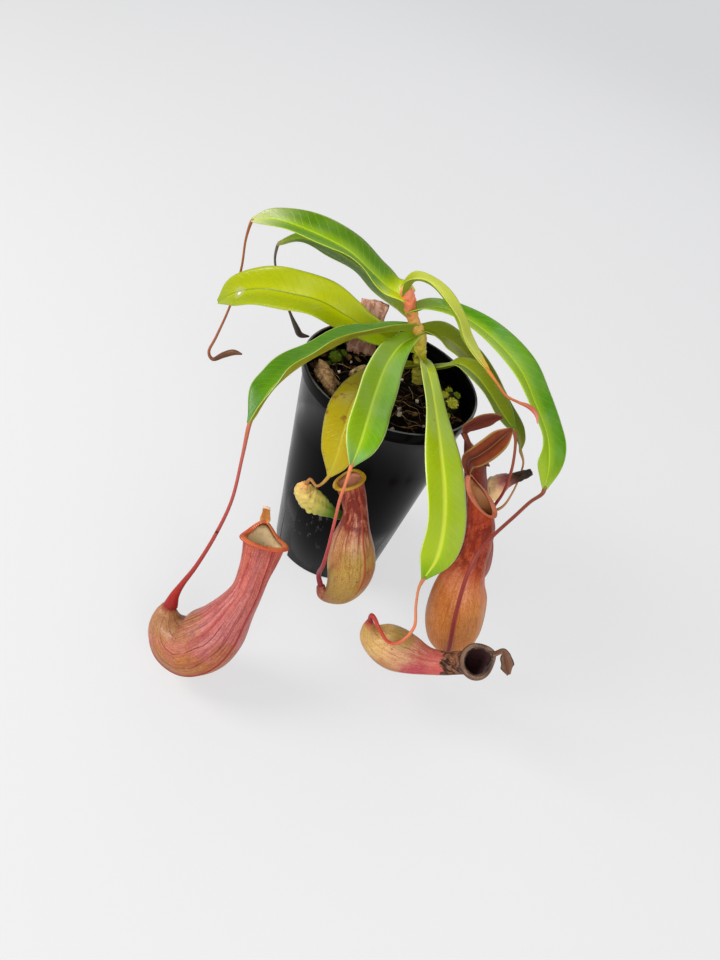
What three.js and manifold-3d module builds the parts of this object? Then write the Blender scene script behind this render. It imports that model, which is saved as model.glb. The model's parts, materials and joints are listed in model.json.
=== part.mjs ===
// A potted tropical pitcher plant: a black nursery tube of bark mix, one short leaning stem, eleven
// strap leaves, and the tendrils and pitchers that hang from the leaf tips.
// Millimetres, +Z up, origin at the centre of the pot's base, the plant's best side towards -Y.
import * as THREE from 'three';
import { mergeVertices } from 'three/addons/utils/BufferGeometryUtils.js';
import Module from 'manifold-3d';

const wasm = await Module();
wasm.setup();

// ---------------------------------------------------------------- driving dimensions
const GAP = 0.35; // clearance between neighbouring pieces

const POT = { height: 112, rim: 42, base: 29.5, wall: 1.3, lip: 7, lipStep: 0.9, floor: 1.6, sides: 40 };
const DRAIN = { count: 4, width: 9, height: 5, depth: 3.2 };
const SOIL = { level: 101, bump: 1.1, sides: 30, rings: [0.86, 0.7, 0.52, 0.34, 0.16, 0] };
const STEM = { sides: 8, steps: 14 };
const BLADE = { thickness: 0.8, leastWidth: 0.9, along: 15, across: 6 };
const RIB = { depth: 0.55, share: 0.42, fullWidth: 4 };
const CUP = { wall: 1.0, sides: 14, mouthZone: 0.3, ringReach: 0.08 };
const LIP = { flare: 1.3, height: 1.3, roll: 0.7, gap: 0.85 };
const LID = { hingeWidth: 1.2, hingeGap: 0.7, along: 8 };
const TENDRIL = { sides: 6, stepsPerPoint: 2, tipGap: 0.95, footGap: 0.5 };

// ---------------------------------------------------------------- colours of the real pieces
const FINISH = {
  pot: { color: 0x0c0d0f, roughness: 0.25 },
  soil: { color: 0x1d1510, roughness: 0.95 },
  bark: { color: 0x8a6149, roughness: 0.9 },
  moss: { color: 0x7c8a2c, roughness: 0.95 },
  stem: { color: 0xa8a03c, roughness: 0.5 },
  leafDark: { color: 0x2f6d12, roughness: 0.35 },
  leafFresh: { color: 0x6fa31c, roughness: 0.35 },
  leafPale: { color: 0xa3b52b, roughness: 0.35 },
  leafOld: { color: 0xb49a2a, roughness: 0.5 },
  tendril: { color: 0x8e3b2c, roughness: 0.45 },
  pitcherRed: { color: 0x8f3f33, roughness: 0.35 },
  pitcherOlive: { color: 0x87682f, roughness: 0.35 },
  pitcherBrown: { color: 0xa14f26, roughness: 0.35 },
  lip: { color: 0x9a4a34, roughness: 0.3 },
  dead: { color: 0x2a1a16, roughness: 0.8 },
};

// ---------------------------------------------------------------- the plant's own lines
// Stem, from inside the mix to the growing tip: x, y, z, radius.
const STEM_LINE = [
  [16, 20, 88, 2.6], [13, 20, 100, 2.8], [11, 20, 107, 2.8], [9, 20, 114, 2.7],
  [6, 20, 124, 2.4], [1, 19, 130, 2.1], [-3, 18, 137, 2.3], [-7, 17, 144, 2.7], [-9, 16, 149, 1.7],
];

// Each leaf: spine points (x, y, z, half width) from the stem to the drip tip, the way its upper
// face looks at each point, and how many degrees each half is raised from flat.
const LEAVES = {
  leaf_back_left: {
    finish: 'leafDark', fold: 24,
    spine: [[-5, 17, 141, 3.4], [-15, 21, 141, 7], [-26, 26, 143, 9.8], [-41, 32, 146, 11.5],
      [-63, 38, 145, 10.3], [-79, 42, 142, 6], [-90, 45, 136, 1.2]],
    facing: [[-0.2, -0.4, 0.9], [0, -0.3, 0.9], [0.2, 0, 1], [0, -0.1, 1], [-0.2, -0.2, 1],
      [-0.4, -0.5, 0.8], [-0.4, -0.8, 0.5]],
  },
  leaf_far_left: {
    finish: 'leafDark', fold: 18,
    spine: [[1, 20, 130, 2.3], [-17, 34, 130, 6.5], [-31, 42, 134, 9], [-48, 48, 135, 9], [-65, 52, 133, 6],
      [-77, 55, 124, 1.2]],
    facing: [[-0.1, -0.2, 1], [0.2, -0.1, 1], [0.1, -0.1, 1], [-0.1, -0.1, 1], [-0.4, -0.1, 0.9],
      [-0.6, -0.4, 0.7]],
  },
  leaf_pale_left: {
    finish: 'leafPale', fold: 23,
    spine: [[7, 20, 117, 2.4], [-16, 20, 118, 6.3], [-30, 20, 120.5, 9.2], [-44, 21, 122, 11.8],
      [-58, 23, 119, 12.2], [-73, 26, 114, 11], [-86, 29, 105, 8.2], [-94, 31, 95, 1.2]],
    facing: [[0, -0.6, 0.8], [0, -0.8, 0.5], [0, -0.7, 0.7], [-0.1, -0.5, 0.8], [-0.3, -0.5, 0.8],
      [-0.5, -0.6, 0.6], [-0.6, -0.7, 0.4], [-0.5, -0.8, 0.3]],
  },
  leaf_folded_left: {
    finish: 'leafDark', fold: 36,
    spine: [[2, 18.5, 128.4, 2.8], [-11, 4.5, 129, 6], [-22, -8, 128, 8], [-30, -22, 126, 9.5],
      [-36, -34, 124, 10.5], [-41, -46, 121, 10.9], [-44, -56, 117, 9.5], [-46, -68, 109, 1.2]],
    facing: [[-0.3, 0.3, 0.9], [-0.3, 0.3, 0.9], [-0.4, 0.2, 0.9], [-0.5, 0.2, 0.8], [-0.6, 0.1, 0.8],
      [-0.7, 0, 0.8], [-0.7, -0.2, 0.7], [-0.9, -0.1, 0.5]],
  },
  leaf_front: {
    finish: 'leafFresh', fold: 17,
    spine: [[5, 20, 125, 3], [-1, 4, 126, 5.2], [-4, -14, 125, 8.2], [-4, -34, 123, 9.8], [-3, -52, 122, 9.4],
      [-2, -66, 118, 7.2], [-2, -73, 112, 1.2]],
    facing: [[-0.2, 0, 1], [0, -0.1, 1], [0.4, -0.1, 0.9], [0.5, -0.1, 0.9], [0.4, -0.1, 0.9],
      [0.3, -0.4, 0.9], [0.5, -0.6, 0.7]],
  },
  leaf_yellow: {
    finish: 'leafOld', fold: 12,
    spine: [[10, 20, 109, 2.2], [-5.5, -6, 116, 4.6], [-9.5, -25, 117.3, 8.2], [-11, -42, 117, 9.5],
      [-10, -54, 112, 9], [-9, -60, 104, 7.5], [-9, -62, 94, 1.2]],
    facing: [[-0.2, -0.1, 1], [-0.3, -0.1, 1], [-0.3, -0.1, 1], [-0.2, -0.2, 1], [-0.4, -0.6, 0.8],
      [-0.4, -0.9, 0.4], [-0.4, -0.9, 0.2]],
  },
  leaf_long_front: {
    finish: 'leafFresh', fold: 12,
    spine: [[9, 20, 113, 2.2], [14, 0, 121, 4.2], [22, -30, 123, 7.2], [30, -54, 119, 9.8],
      [36, -66, 112, 11], [41, -73, 101, 10.6], [44, -77, 87, 8.6], [43, -79, 75, 1.4]],
    facing: [[0, 0, 1], [0.2, 0.1, 1], [0.4, 0.1, 0.9], [0.4, -0.1, 0.9], [0.5, -0.4, 0.8],
      [0.6, -0.6, 0.5], [0.5, -0.9, 0.2], [0.3, -0.9, 0.1]],
  },
  leaf_young: {
    finish: 'leafFresh', fold: 40,
    spine: [[-8, 16, 145, 2.6], [-6, 6, 157, 3.8], [1, -2, 162, 3.8], [9, -10, 162, 4.4], [17, -16, 158, 4.8],
      [22, -20, 153.5, 4.2], [29, -22, 149, 3.2], [36, -24, 146, 1]],
    facing: [[-0.5, -0.6, 0.3], [-0.6, -0.3, 0.7], [-0.2, -0.1, 1], [0.2, -0.1, 1], [0.5, -0.1, 0.9],
      [0.5, -0.2, 0.8], [0.4, -0.3, 0.8], [0.3, -0.5, 0.8]],
  },
  leaf_right: {
    finish: 'leafDark', fold: 22,
    spine: [[-3, 18, 135, 3], [5, 12, 145, 3.8], [17, 6, 149.5, 6], [33, -1, 149, 8.6], [50, -8, 143, 10.6],
      [62, -13, 133, 11.2], [72, -16, 123, 10], [79, -18, 111, 7], [83, -20, 98, 1.3]],
    facing: [[-0.6, -0.3, 0.7], [-0.5, -0.3, 0.8], [-0.3, -0.1, 1], [0, -0.1, 1], [0.4, -0.2, 0.9],
      [0.5, -0.2, 0.8], [0.6, -0.3, 0.8], [0.4, -0.9, 0.3], [0.1, -1, 0.1]],
  },
  leaf_back_right: {
    finish: 'leafPale', fold: 15,
    spine: [[3, 20, 127, 2.3], [17, 23, 127, 7.5], [29, 21, 124, 9], [42, 18, 117, 8], [54, 15, 109, 7],
      [64, 12, 102, 6], [69, 11, 97, 4.2], [71, 11, 92, 1]],
    facing: [[0, 0, 1], [0.2, -0.2, 1], [0.3, -0.2, 1], [0.4, -0.2, 0.9], [0.5, -0.2, 0.8],
      [0.6, -0.2, 0.7], [0.7, -0.3, 0.5], [0.8, -0.5, 0.3]],
  },
  leaf_low_right: {
    finish: 'leafDark', fold: 20,
    spine: [[11, 20, 106.5, 2.2], [21, 9, 120.5, 3.2], [27, 7, 126, 5.2], [36, 4, 125, 8], [45, 2, 120, 8.4],
      [53, 1, 114, 7.8], [62, 0, 108, 1.2]],
    facing: [[-0.6, 0.3, 0.7], [-0.5, 0.2, 0.8], [-0.2, 0, 1], [0.3, -0.1, 1], [0.5, -0.2, 0.8],
      [0.5, -0.2, 0.8], [0.4, -0.5, 0.7]],
  },
};

// Each tendril: the leaf whose tip it leaves, the points it passes (x, y, z, radius), and the pitcher
// whose foot it meets. One with no pitcher ends in its own dead or unopened bud.
const TENDRILS = {
  tendril_back_left: {
    leaf: 'leaf_back_left', finish: 'dead', start: 0.8,
    via: [[-91, 46, 124, 0.6], [-90, 46, 108, 0.6], [-91, 44, 87, 0.6], [-94, 42, 68, 0.7],
      [-96, 41, 58, 0.8], [-93, 41, 54, 1], [-88, 41, 59, 1.6], [-83, 41, 63, 1.6], [-78, 41, 64, 0.4]],
  },
  tendril_far_left: {
    leaf: 'leaf_far_left', finish: 'dead', start: 0.8,
    via: [[-76, 55, 114, 0.6], [-70, 55, 102, 0.6], [-62, 54, 91, 0.7], [-56, 53, 84, 1.5],
      [-53, 53, 81, 1.6], [-48, 53, 82, 0.4]],
  },
  tendril_folded_left: {
    leaf: 'leaf_folded_left', pitcher: 'pitcher_left', finish: 'tendril', start: 0.9, end: 2.3,
    via: [[-44, -75, 97, 0.7], [-42, -84, 82, 0.7], [-43.5, -91, 67, 0.8], [-46.5, -98, 53.5, 0.9],
      [-49.8, -101.5, 43.2, 1.2], [-51.4, -103.4, 36.8, 1.6]],
  },
  tendril_front: {
    leaf: 'leaf_front', pitcher: 'pitcher_centre', finish: 'tendril', start: 0.9, end: 1.3,
    via: [[-1.5, -76, 106, 0.7], [-1.3, -77, 97, 0.8], [0, -77, 84, 0.8], [1.4, -76.5, 70, 0.9],
      [2.2, -75, 57, 1.1], [1.9, -70.6, 45.6, 1.2]],
  },
  tendril_yellow: {
    leaf: 'leaf_yellow', pitcher: 'pitcher_shrivelled', finish: 'tendril', start: 0.8, end: 0.9,
    via: [[-10.8, -62.8, 89, 0.6], [-12.8, -61.8, 86, 0.6], [-16.2, -58.4, 85.2, 0.7]],
  },
  tendril_long_front: {
    leaf: 'leaf_long_front', pitcher: 'pitcher_lying', finish: 'tendril', start: 0.9, end: 1.2,
    via: [[43, -80, 69, 0.6], [45, -82, 61, 0.6], [48, -85, 52, 0.7], [45, -90, 46, 0.7], [40, -92, 45, 0.7],
      [34.5, -91, 49, 0.8], [31, -88.5, 51.4, 0.9], [29.2, -86, 50, 1]],
  },
  tendril_young: {
    leaf: 'leaf_young', finish: 'tendril', start: 0.8,
    via: [[41, -27, 144, 0.7], [46.7, -29, 141, 0.7], [52.3, -31, 141.3, 0.8], [55.8, -33, 142.5, 1],
      [58.9, -34.5, 142.3, 1.1], [61, -35.5, 140.8, 0.9], [62.4, -36, 138.2, 0.4]],
  },
  tendril_right: {
    leaf: 'leaf_right', pitcher: 'pitcher_brown', finish: 'tendril', start: 1, end: 1.5,
    via: [[82.5, -22, 95.5, 0.9], [78, -29, 94.5, 0.8], [73, -38, 91, 0.8], [66, -51, 87, 0.8],
      [62, -60, 83, 0.9], [61, -67, 74, 0.9], [64, -71, 55, 1], [68, -72, 38, 1.1], [71, -70.5, 24, 1.2],
      [72.5, -68, 15, 1.3], [73.8, -64, 10.5, 1.4], [74, -60.5, 10, 1.5]],
  },
  tendril_back_right: {
    leaf: 'leaf_back_right', pitcher: 'pitcher_small', finish: 'tendril', start: 0.8, end: 0.9,
    via: [[75, 9, 87, 0.5], [76, 6, 81, 0.5], [76, 2, 75, 0.5], [75, -1, 67, 0.6], [73, 0, 61, 0.8],
      [71.3, 1.2, 60.8, 0.9]],
  },
  tendril_low_right: {
    leaf: 'leaf_low_right', pitcher: 'pitcher_dark', finish: 'tendril', start: 0.9, end: 1.2,
    via: [[65, -3, 103, 0.7], [68, -8, 93, 0.7], [69, -12, 82, 0.7], [68, -13, 70, 0.8], [68, -14, 57, 0.8],
      [70, -16, 45, 0.8], [72.5, -19.5, 34, 0.9], [75.2, -25, 26, 1], [74.8, -29.2, 27, 1.1]],
  },
};

// Each open pitcher: its centre line from foot to mouth (x, y, z, outer radius), the way its back
// looks at the mouth, how far the lip climbs from front to back, and how far it peaks at the lid.
const PITCHERS = {
  pitcher_left: {
    finish: 'pitcherRed', lip: 'lip', back: [-0.2, 0.8, 0.6], climb: 1.5, peak: 5,
    line: [[-51.7, -104.5, 32, 2.3], [-52.3, -106, 27, 5.1], [-50.6, -108, 22.7, 8.5],
      [-46, -109.5, 19.5, 12], [-39.4, -110, 19.8, 14.5], [-33, -109, 25.3, 14.6],
      [-28.3, -106, 32.2, 11.8], [-25.6, -102, 40.8, 8.6], [-23.7, -97, 47.6, 6.8],
      [-23.6, -92, 53.5, 6.7], [-23.6, -88, 59.6, 7.4], [-24.2, -84, 65.5, 8.4]],
  },
  pitcher_centre: {
    finish: 'pitcherOlive', lip: 'lip', back: [-0.3, 0.8, 0.5], climb: 1, peak: 1,
    line: [[4.4, -71, 40, 1.8], [6.2, -72, 37.2, 2.7], [9.2, -72, 37.6, 4.2], [12.5, -71, 41.2, 7],
      [14.3, -69, 47, 9.2], [13.8, -67, 54.2, 10.6], [11.7, -65, 61, 10.2], [9.6, -63, 67.2, 8.6],
      [8.3, -61, 73, 6.5], [6.6, -59, 78.3, 5.4], [3.6, -57.5, 84, 5.6], [-0.4, -56, 90, 6.2]],
  },
  pitcher_lying: {
    finish: 'pitcherOlive', lip: 'dead', back: [0.6, 0.4, 0.7], climb: 0.5, peak: 4,
    line: [[29.7, -85, 45.6, 1.3], [30.6, -85, 41.5, 3.1], [33.1, -85, 37.2, 5.8], [38.7, -85, 35.6, 8.8],
      [45.6, -84.5, 34, 9.7], [52.9, -84, 33.2, 8.4], [60.8, -84, 33.6, 6.1], [67.8, -84, 36.4, 5.3],
      [72.3, -85, 40.8, 5.1], [75.4, -87.5, 46.4, 5.3], [77.1, -91, 52.3, 6.2]],
  },
  pitcher_brown: {
    finish: 'pitcherBrown', lip: 'lip', back: [-0.85, 0.25, -0.45], climb: 7.5, peak: 2.5,
    line: [[73.5, -59.5, 14, 1.6], [72.5, -58.5, 19, 7], [71, -57, 25, 11.5], [68, -54, 35, 13.4],
      [65.5, -51, 47, 12.6], [64, -48, 55, 10], [64, -45, 64, 7.1], [63, -42.5, 74, 6.4],
      [60, -40.2, 84, 6.4], [56.3, -38, 93, 5.8]],
  },
  pitcher_dark: {
    finish: 'pitcherRed', lip: 'dead', back: [-0.85, -0.43, -0.32], climb: 8.5, peak: 2,
    line: [[74, -29, 30, 1.2], [72, -28, 36, 5.5], [70, -27, 45, 8], [67, -25.5, 57, 7.8], [63, -24, 67.5, 6],
      [58, -22, 79, 5.1], [52, -21, 91.5, 5.1], [47.1, -21.2, 103.8, 5]],
  },
};

// Pitchers that never opened or have shrivelled shut: solid, x, y, z, radius.
const CLOSED_PITCHERS = {
  pitcher_small: {
    finish: 'pitcherOlive',
    line: [[69.4, 2, 62.2, 1], [66.8, 3, 65, 4.4], [67.5, 3, 70.9, 5.4], [69.6, 3, 76, 4.2],
      [72.5, 2, 80.5, 2.9], [76, 2, 84.6, 2.4], [79.2, 2, 88.8, 1.6]],
  },
  pitcher_shrivelled: {
    finish: 'leafFresh',
    line: [[-17.4, -57, 81.2, 1.5], [-17.8, -57, 76.8, 3.8], [-14.3, -56, 73, 5.2], [-10.2, -55, 70.6, 5],
      [-6.1, -54, 68.7, 3.7], [-2.2, -53, 67.3, 2.5], [1.4, -52, 66.3, 2], [2.9, -51.5, 65.7, 1.2]],
  },
};

// Lids: a spine from the pitcher's hinge and facings as a leaf has; the dried one hangs crumpled.
const LIDS = {
  pitcher_brown_lid: {
    finish: 'pitcherBrown', fold: 12, pitcher: 'pitcher_brown',
    spine: [[44, -38, 109.5, 3.6], [46.3, -40, 115.7, 4.7], [49, -41, 122.4, 4.9], [51.3, -41, 128.8, 4.2],
      [53.4, -40, 134, 1]],
    facing: [[-0.4, -0.9, 0.1], [-0.4, -0.9, 0], [-0.4, -0.9, 0], [-0.4, -0.9, 0], [-0.4, -0.9, 0.1],
      [-0.3, -0.9, 0.2]],
  },
  pitcher_dark_lid: {
    finish: 'pitcherRed', fold: 14, pitcher: 'pitcher_dark',
    spine: [[39, -24, 116.2, 2.6], [42.3, -25.5, 122.3, 3.9], [46, -26, 126.7, 3.4], [50, -26, 129, 0.9]],
    facing: [[0.1, -1, -0.2], [0.1, -1, -0.2], [0.1, -1, -0.2], [0.1, -1, -0.2], [0.1, -1, -0.2]],
  },
  pitcher_left_lid_stub: {
    finish: 'lip', fold: 10, pitcher: 'pitcher_left',
    spine: [[-28.4, -72.6, 71.2, 1.8], [-28.9, -72.6, 74.2, 1.7]],
    facing: [[0, -0.9, 0.4], [0, -0.9, 0.4], [0, -0.9, 0.4]],
  },
  pitcher_lying_lid: {
    finish: 'dead', fold: 30, pitcher: 'pitcher_lying',
    spine: [[84.8, -88.4, 61.6, 1.6], [87, -87.4, 58.2, 2.9], [89.8, -87, 53.2, 3.5], [92.8, -88, 49, 1]],
    facing: [[0.3, -0.7, 0.6], [0.4, -0.8, 0.4], [0.6, -0.8, 0.2], [0.3, -0.8, 0.4], [0.6, -0.8, 0.1]],
  },
};

// Pieces of bark pressed into the mix: centre, size, how worn round (0 to 1) and turn (degrees).
const BARK = {
  bark_back: { at: [-19.2, 25.9, 112], size: [15.5, 5, 35.5], round: 0.2, turn: [-4, -2, 8] },
  bark_left: { at: [-27.5, -10, 103.8], size: [8.5, 19, 8.5], round: 0.75, turn: [6, -8, 45] },
  bark_middle: { at: [-14, 6, 103.5], size: [6, 11, 6], round: 0.8, turn: [6, 10, -30] },
};

const BARK_SHAPE = { taper: 0.14, bow: 0.2, bowTurns: 3, wave: 0.07, waveTurns: 8 };

// Cushions of moss: centre and radii.
const MOSS = {
  moss_right: { at: [29.6, 9, 102.8], radii: [6.2, 9.5, 5.4] },
  moss_left: { at: [-28, 11, 102.5], radii: [5, 6.5, 4.2] },
};

const MOSS_SHAPE = { sides: 14, rings: 9, lump: 0.1, wavesX: 5, wavesY: 4, lumpsAbove: -0.4 };

// ---------------------------------------------------------------- solids
const vec = ([x, y, z]) => new THREE.Vector3(x, y, z);

const curveOf = (rows) => new THREE.CatmullRomCurve3(rows.map(vec), false, 'catmullrom', 0.5);

// A value kept for each point of a line, read between the points by the same curve.
function valueAlong(values, t) {
  return curveOf(values.map((value) => [value, 0, 0])).getPoint(t).x;
}

function smoothStep(from, to, x) {
  const t = THREE.MathUtils.clamp((x - from) / (to - from), 0, 1);
  return t * t * (3 - 2 * t);
}

// Shared corners and no flat triangles, which is what makes a surface one closed skin.
function closedSkin(geometry) {
  geometry.deleteAttribute('normal');
  geometry.deleteAttribute('uv');
  const merged = mergeVertices(geometry, 1e-4);
  const corners = merged.index.array;
  const kept = [];
  for (let i = 0; i < corners.length; i += 3) {
    const [a, b, c] = corners.slice(i, i + 3);
    if (a !== b && b !== c && c !== a) kept.push(a, b, c);
  }
  merged.setIndex(kept);
  return merged;
}

function toSolid(geometry) {
  const vertProperties = new Float32Array(geometry.attributes.position.array);
  const triVerts = new Uint32Array(geometry.index.array);
  return new wasm.Manifold(new wasm.Mesh({ numProp: 3, vertProperties, triVerts }));
}

function fromSolid(solid) {
  const { vertProperties, triVerts } = solid.getMesh();
  const geometry = new THREE.BufferGeometry();
  geometry.setAttribute('position', new THREE.BufferAttribute(new Float32Array(vertProperties), 3));
  geometry.setIndex(Array.from(triVerts));
  return geometry;
}

const cut = (geometry, ...tools) => fromSolid(
  tools.reduce((solid, tool) => solid.subtract(toSolid(tool)), toSolid(geometry)),
);

// A blade's foot clasps the stem; what the stem's room cuts loose beyond it isn't kept.
function largestPiece(geometry) {
  const pieces = toSolid(geometry).decompose();
  return fromSolid(pieces.reduce((best, piece) => (piece.volume() > best.volume() ? piece : best)));
}

// The way a curve runs around one place, taken over a stretch, so that wide rings don't cross in a bend.
function wayAround(curve, t, reach) {
  return curve.getPoint(Math.min(t + reach, 1)).sub(curve.getPoint(Math.max(t - reach, 0))).normalize();
}

// Frames along a curve. The normal is carried from the far end back to the start, so it never twists.
function carriedFrames(curve, steps, lastNormal, reach = 0) {
  const frames = [];
  let normal = vec(lastNormal);
  for (let i = steps; i >= 0; i -= 1) {
    const tangent = reach ? wayAround(curve, i / steps, reach) : curve.getTangent(i / steps);
    normal = normal.clone().addScaledVector(tangent, -normal.dot(tangent)).normalize();
    frames[i] = { centre: curve.getPoint(i / steps), tangent, normal, side: tangent.clone().cross(normal) };
  }
  return frames;
}

// Any direction square to the end of a curve, for round things whose turn doesn't show.
function anyNormal(curve) {
  const tangent = curve.getTangent(1);
  const helper = Math.abs(tangent.z) < 0.8 ? new THREE.Vector3(0, 0, 1) : new THREE.Vector3(0, 1, 0);
  return helper.cross(tangent).toArray();
}

// A round bar with its radius given at each point of its line.
function roundBar(line, sides, steps) {
  const curve = curveOf(line);
  const radii = line.map((row) => row[3]);
  const frames = carriedFrames(curve, steps, anyNormal(curve));
  const geometry = new THREE.CylinderGeometry(1, 1, 1, sides, steps);
  const { position } = geometry.attributes;
  for (let i = 0; i < position.count; i += 1) {
    const t = position.getY(i) + 0.5;
    const frame = frames[Math.round(t * steps)];
    const radius = valueAlong(radii, t);
    const place = frame.centre.clone()
      .addScaledVector(frame.normal, position.getX(i) * radius)
      .addScaledVector(frame.side, -position.getZ(i) * radius);
    position.setXYZ(i, place.x, place.y, place.z);
  }
  return closedSkin(geometry);
}

// A box splits its back face the other way round from its front face. A thin blade needs both alike.
function splitBackLikeFront(box) {
  const back = box.groups[5];
  const corners = box.index.array;
  for (let i = back.start; i < back.start + back.count; i += 6) {
    const [a, b, d, , c] = corners.slice(i, i + 6);
    corners.set([a, b, c, a, c, d], i);
  }
}

// A leaf blade: a thin sheet bent along its spine, each half raised, with a rib under the middle.
function blade({ spine, facing, fold }, along = BLADE.along) {
  const curve = curveOf(spine);
  const facings = curveOf(facing);
  const widths = spine.map((row) => row[3]);
  const raise = THREE.MathUtils.degToRad(fold);
  const geometry = new THREE.BoxGeometry(2, 1, 1, BLADE.across, along, 1);
  splitBackLikeFront(geometry);
  const { position } = geometry.attributes;
  for (let i = 0; i < position.count; i += 1) {
    const t = position.getY(i) + 0.5;
    const column = position.getX(i);
    const across = Math.abs(column) < 0.5 ? column * RIB.share : column;
    const face = Math.sign(position.getZ(i));
    const tangent = curve.getTangent(t);
    const up = facings.getPoint(t);
    up.addScaledVector(tangent, -up.dot(tangent)).normalize();
    const side = tangent.clone().cross(up);
    const width = Math.max(valueAlong(widths, t), BLADE.leastWidth);
    const rib = face < 0 && across === 0 ? RIB.depth * Math.min(1, width / RIB.fullWidth) : 0;
    const place = curve.getPoint(t)
      .addScaledVector(side, across * width * Math.cos(raise))
      .addScaledVector(up, Math.abs(across) * width * Math.sin(raise) + face * BLADE.thickness / 2 - rib);
    position.setXYZ(i, place.x, place.y, place.z);
  }
  return closedSkin(geometry);
}

// How far up its centre line a pitcher's lip stands at one place: low in front, climbing to the back
// and drawn into a point under the lid. back is -1 in front and 1 at the back.
const lipHeight = ({ climb, peak }, back) => climb * back + peak * Math.max(0, back) ** 5;

// Turns a lathe shape whose Y is a distance in steps into a shape along a pitcher's centre line.
function bendAlongPitcher(geometry, pitcher, steps) {
  const frames = carriedFrames(curveOf(pitcher.line), steps, pitcher.back, CUP.ringReach);
  const { position } = geometry.attributes;
  for (let i = 0; i < position.count; i += 1) {
    const step = position.getY(i);
    const frame = frames[THREE.MathUtils.clamp(Math.round(step), 0, steps)];
    const beyond = step > steps ? step - steps : 0;
    const x = position.getX(i);
    const z = position.getZ(i);
    const back = x / (Math.hypot(x, z) || 1);
    const nearMouth = smoothStep(1 - CUP.mouthZone, 1, step / steps);
    const place = frame.centre.clone()
      .addScaledVector(frame.normal, x)
      .addScaledVector(frame.side, -z)
      .addScaledVector(frame.tangent, beyond + nearMouth * lipHeight(pitcher, back));
    position.setXYZ(i, place.x, place.y, place.z);
  }
  return closedSkin(geometry);
}

const stepsOf = (pitcher) => Math.round((pitcher.line.length - 1) * 1.5);

// The cup: outer wall from the foot to the mouth, over the edge, and down the inner wall.
function cup(pitcher) {
  const steps = stepsOf(pitcher);
  const radii = pitcher.line.map((row) => row[3]);
  const outer = [new THREE.Vector2(0, 0)];
  const inner = [];
  for (let step = 0; step <= steps; step += 1) {
    const radius = valueAlong(radii, step / steps);
    outer.push(new THREE.Vector2(radius, step));
    const hollow = radius - CUP.wall;
    if (step >= 2 && hollow > 2) inner.unshift(new THREE.Vector2(hollow, step));
  }
  inner.push(new THREE.Vector2(0, inner[inner.length - 1].y));
  return bendAlongPitcher(new THREE.LatheGeometry([...outer, ...inner], CUP.sides), pitcher, steps);
}

// The lip: a rolled collar that stands on the cup's edge and flares outwards.
function lipRing(pitcher) {
  const steps = stepsOf(pitcher);
  const radius = pitcher.line[pitcher.line.length - 1][3];
  const section = [
    [-CUP.wall, 0], [LIP.flare, 0], [LIP.flare + LIP.roll, LIP.height / 2],
    [LIP.flare, LIP.height], [-CUP.wall * 0.5, LIP.height], [-CUP.wall, 0],
  ];
  const points = section.map(([out, up]) => new THREE.Vector2(radius + out, steps + LIP.gap + up));
  return bendAlongPitcher(new THREE.LatheGeometry(points, CUP.sides), pitcher, steps);
}

// Where a lid springs from: just above the back of the lip.
function hingePoint(pitcher) {
  const steps = stepsOf(pitcher);
  const radius = pitcher.line.at(-1)[3];
  const frames = carriedFrames(curveOf(pitcher.line), steps, pitcher.back, CUP.ringReach);
  const { centre, normal, tangent } = frames[steps];
  const height = lipHeight(pitcher, 1) + LIP.gap + LIP.height + LID.hingeGap;
  return centre.addScaledVector(normal, radius).addScaledVector(tangent, height);
}

function lidBlade(lid) {
  const hinge = [...hingePoint(PITCHERS[lid.pitcher]).toArray(), LID.hingeWidth];
  return blade({ ...lid, spine: [hinge, ...lid.spine] }, LID.along);
}

function stepTowards(from, to, distance) {
  const way = vec(to).sub(vec(from)).normalize();
  return vec(from).addScaledVector(way, distance).toArray();
}

// A tendril, from just past its leaf's tip to just short of its pitcher's foot.
function tendril({ leaf, pitcher, via, start, end }) {
  const tip = LEAVES[leaf].spine.at(-1);
  const rows = [[...stepTowards(tip, via[0], TENDRIL.tipGap), start], ...via];
  if (pitcher) {
    const [foot, inside] = (PITCHERS[pitcher] ?? CLOSED_PITCHERS[pitcher]).line;
    rows.push([...stepTowards(foot, inside, -TENDRIL.footGap), end]);
  }
  return roundBar(rows, TENDRIL.sides, (rows.length - 1) * TENDRIL.stepsPerPoint);
}

// ---------------------------------------------------------------- pot and mix
const rimSlope = (POT.rim - POT.base) / POT.height;
const outerRadius = (z) => POT.base + rimSlope * z;

function potShell() {
  const lipFoot = POT.height - POT.lip;
  const body = (z) => outerRadius(z) - POT.lipStep;
  const profile = [
    [0, 0], [POT.base - POT.lipStep, 0], [body(lipFoot), lipFoot], [outerRadius(lipFoot), lipFoot + 1],
    [POT.rim, POT.height - 0.5], [POT.rim - 0.5, POT.height], [POT.rim - POT.wall + 0.3, POT.height],
    [POT.rim - POT.wall, POT.height - 0.6], [body(lipFoot) - POT.wall, lipFoot],
    [body(POT.floor) - POT.wall, POT.floor], [0, POT.floor],
  ].map(([radius, z]) => new THREE.Vector2(radius, z));
  const shell = closedSkin(new THREE.LatheGeometry(profile, POT.sides).rotateX(Math.PI / 2));
  return cut(shell, ...drainCutters());
}

// Notches through the wall where it meets the floor, so that water can leave.
function drainCutters() {
  return Array.from({ length: DRAIN.count }, (_, i) => {
    const notch = new THREE.BoxGeometry(DRAIN.depth * 2, DRAIN.width, DRAIN.height * 2);
    const angle = ((i + 0.5) / DRAIN.count) * Math.PI * 2;
    notch.translate(POT.base - POT.lipStep, 0, 0);
    return closedSkin(notch.rotateZ(angle));
  });
}

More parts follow.
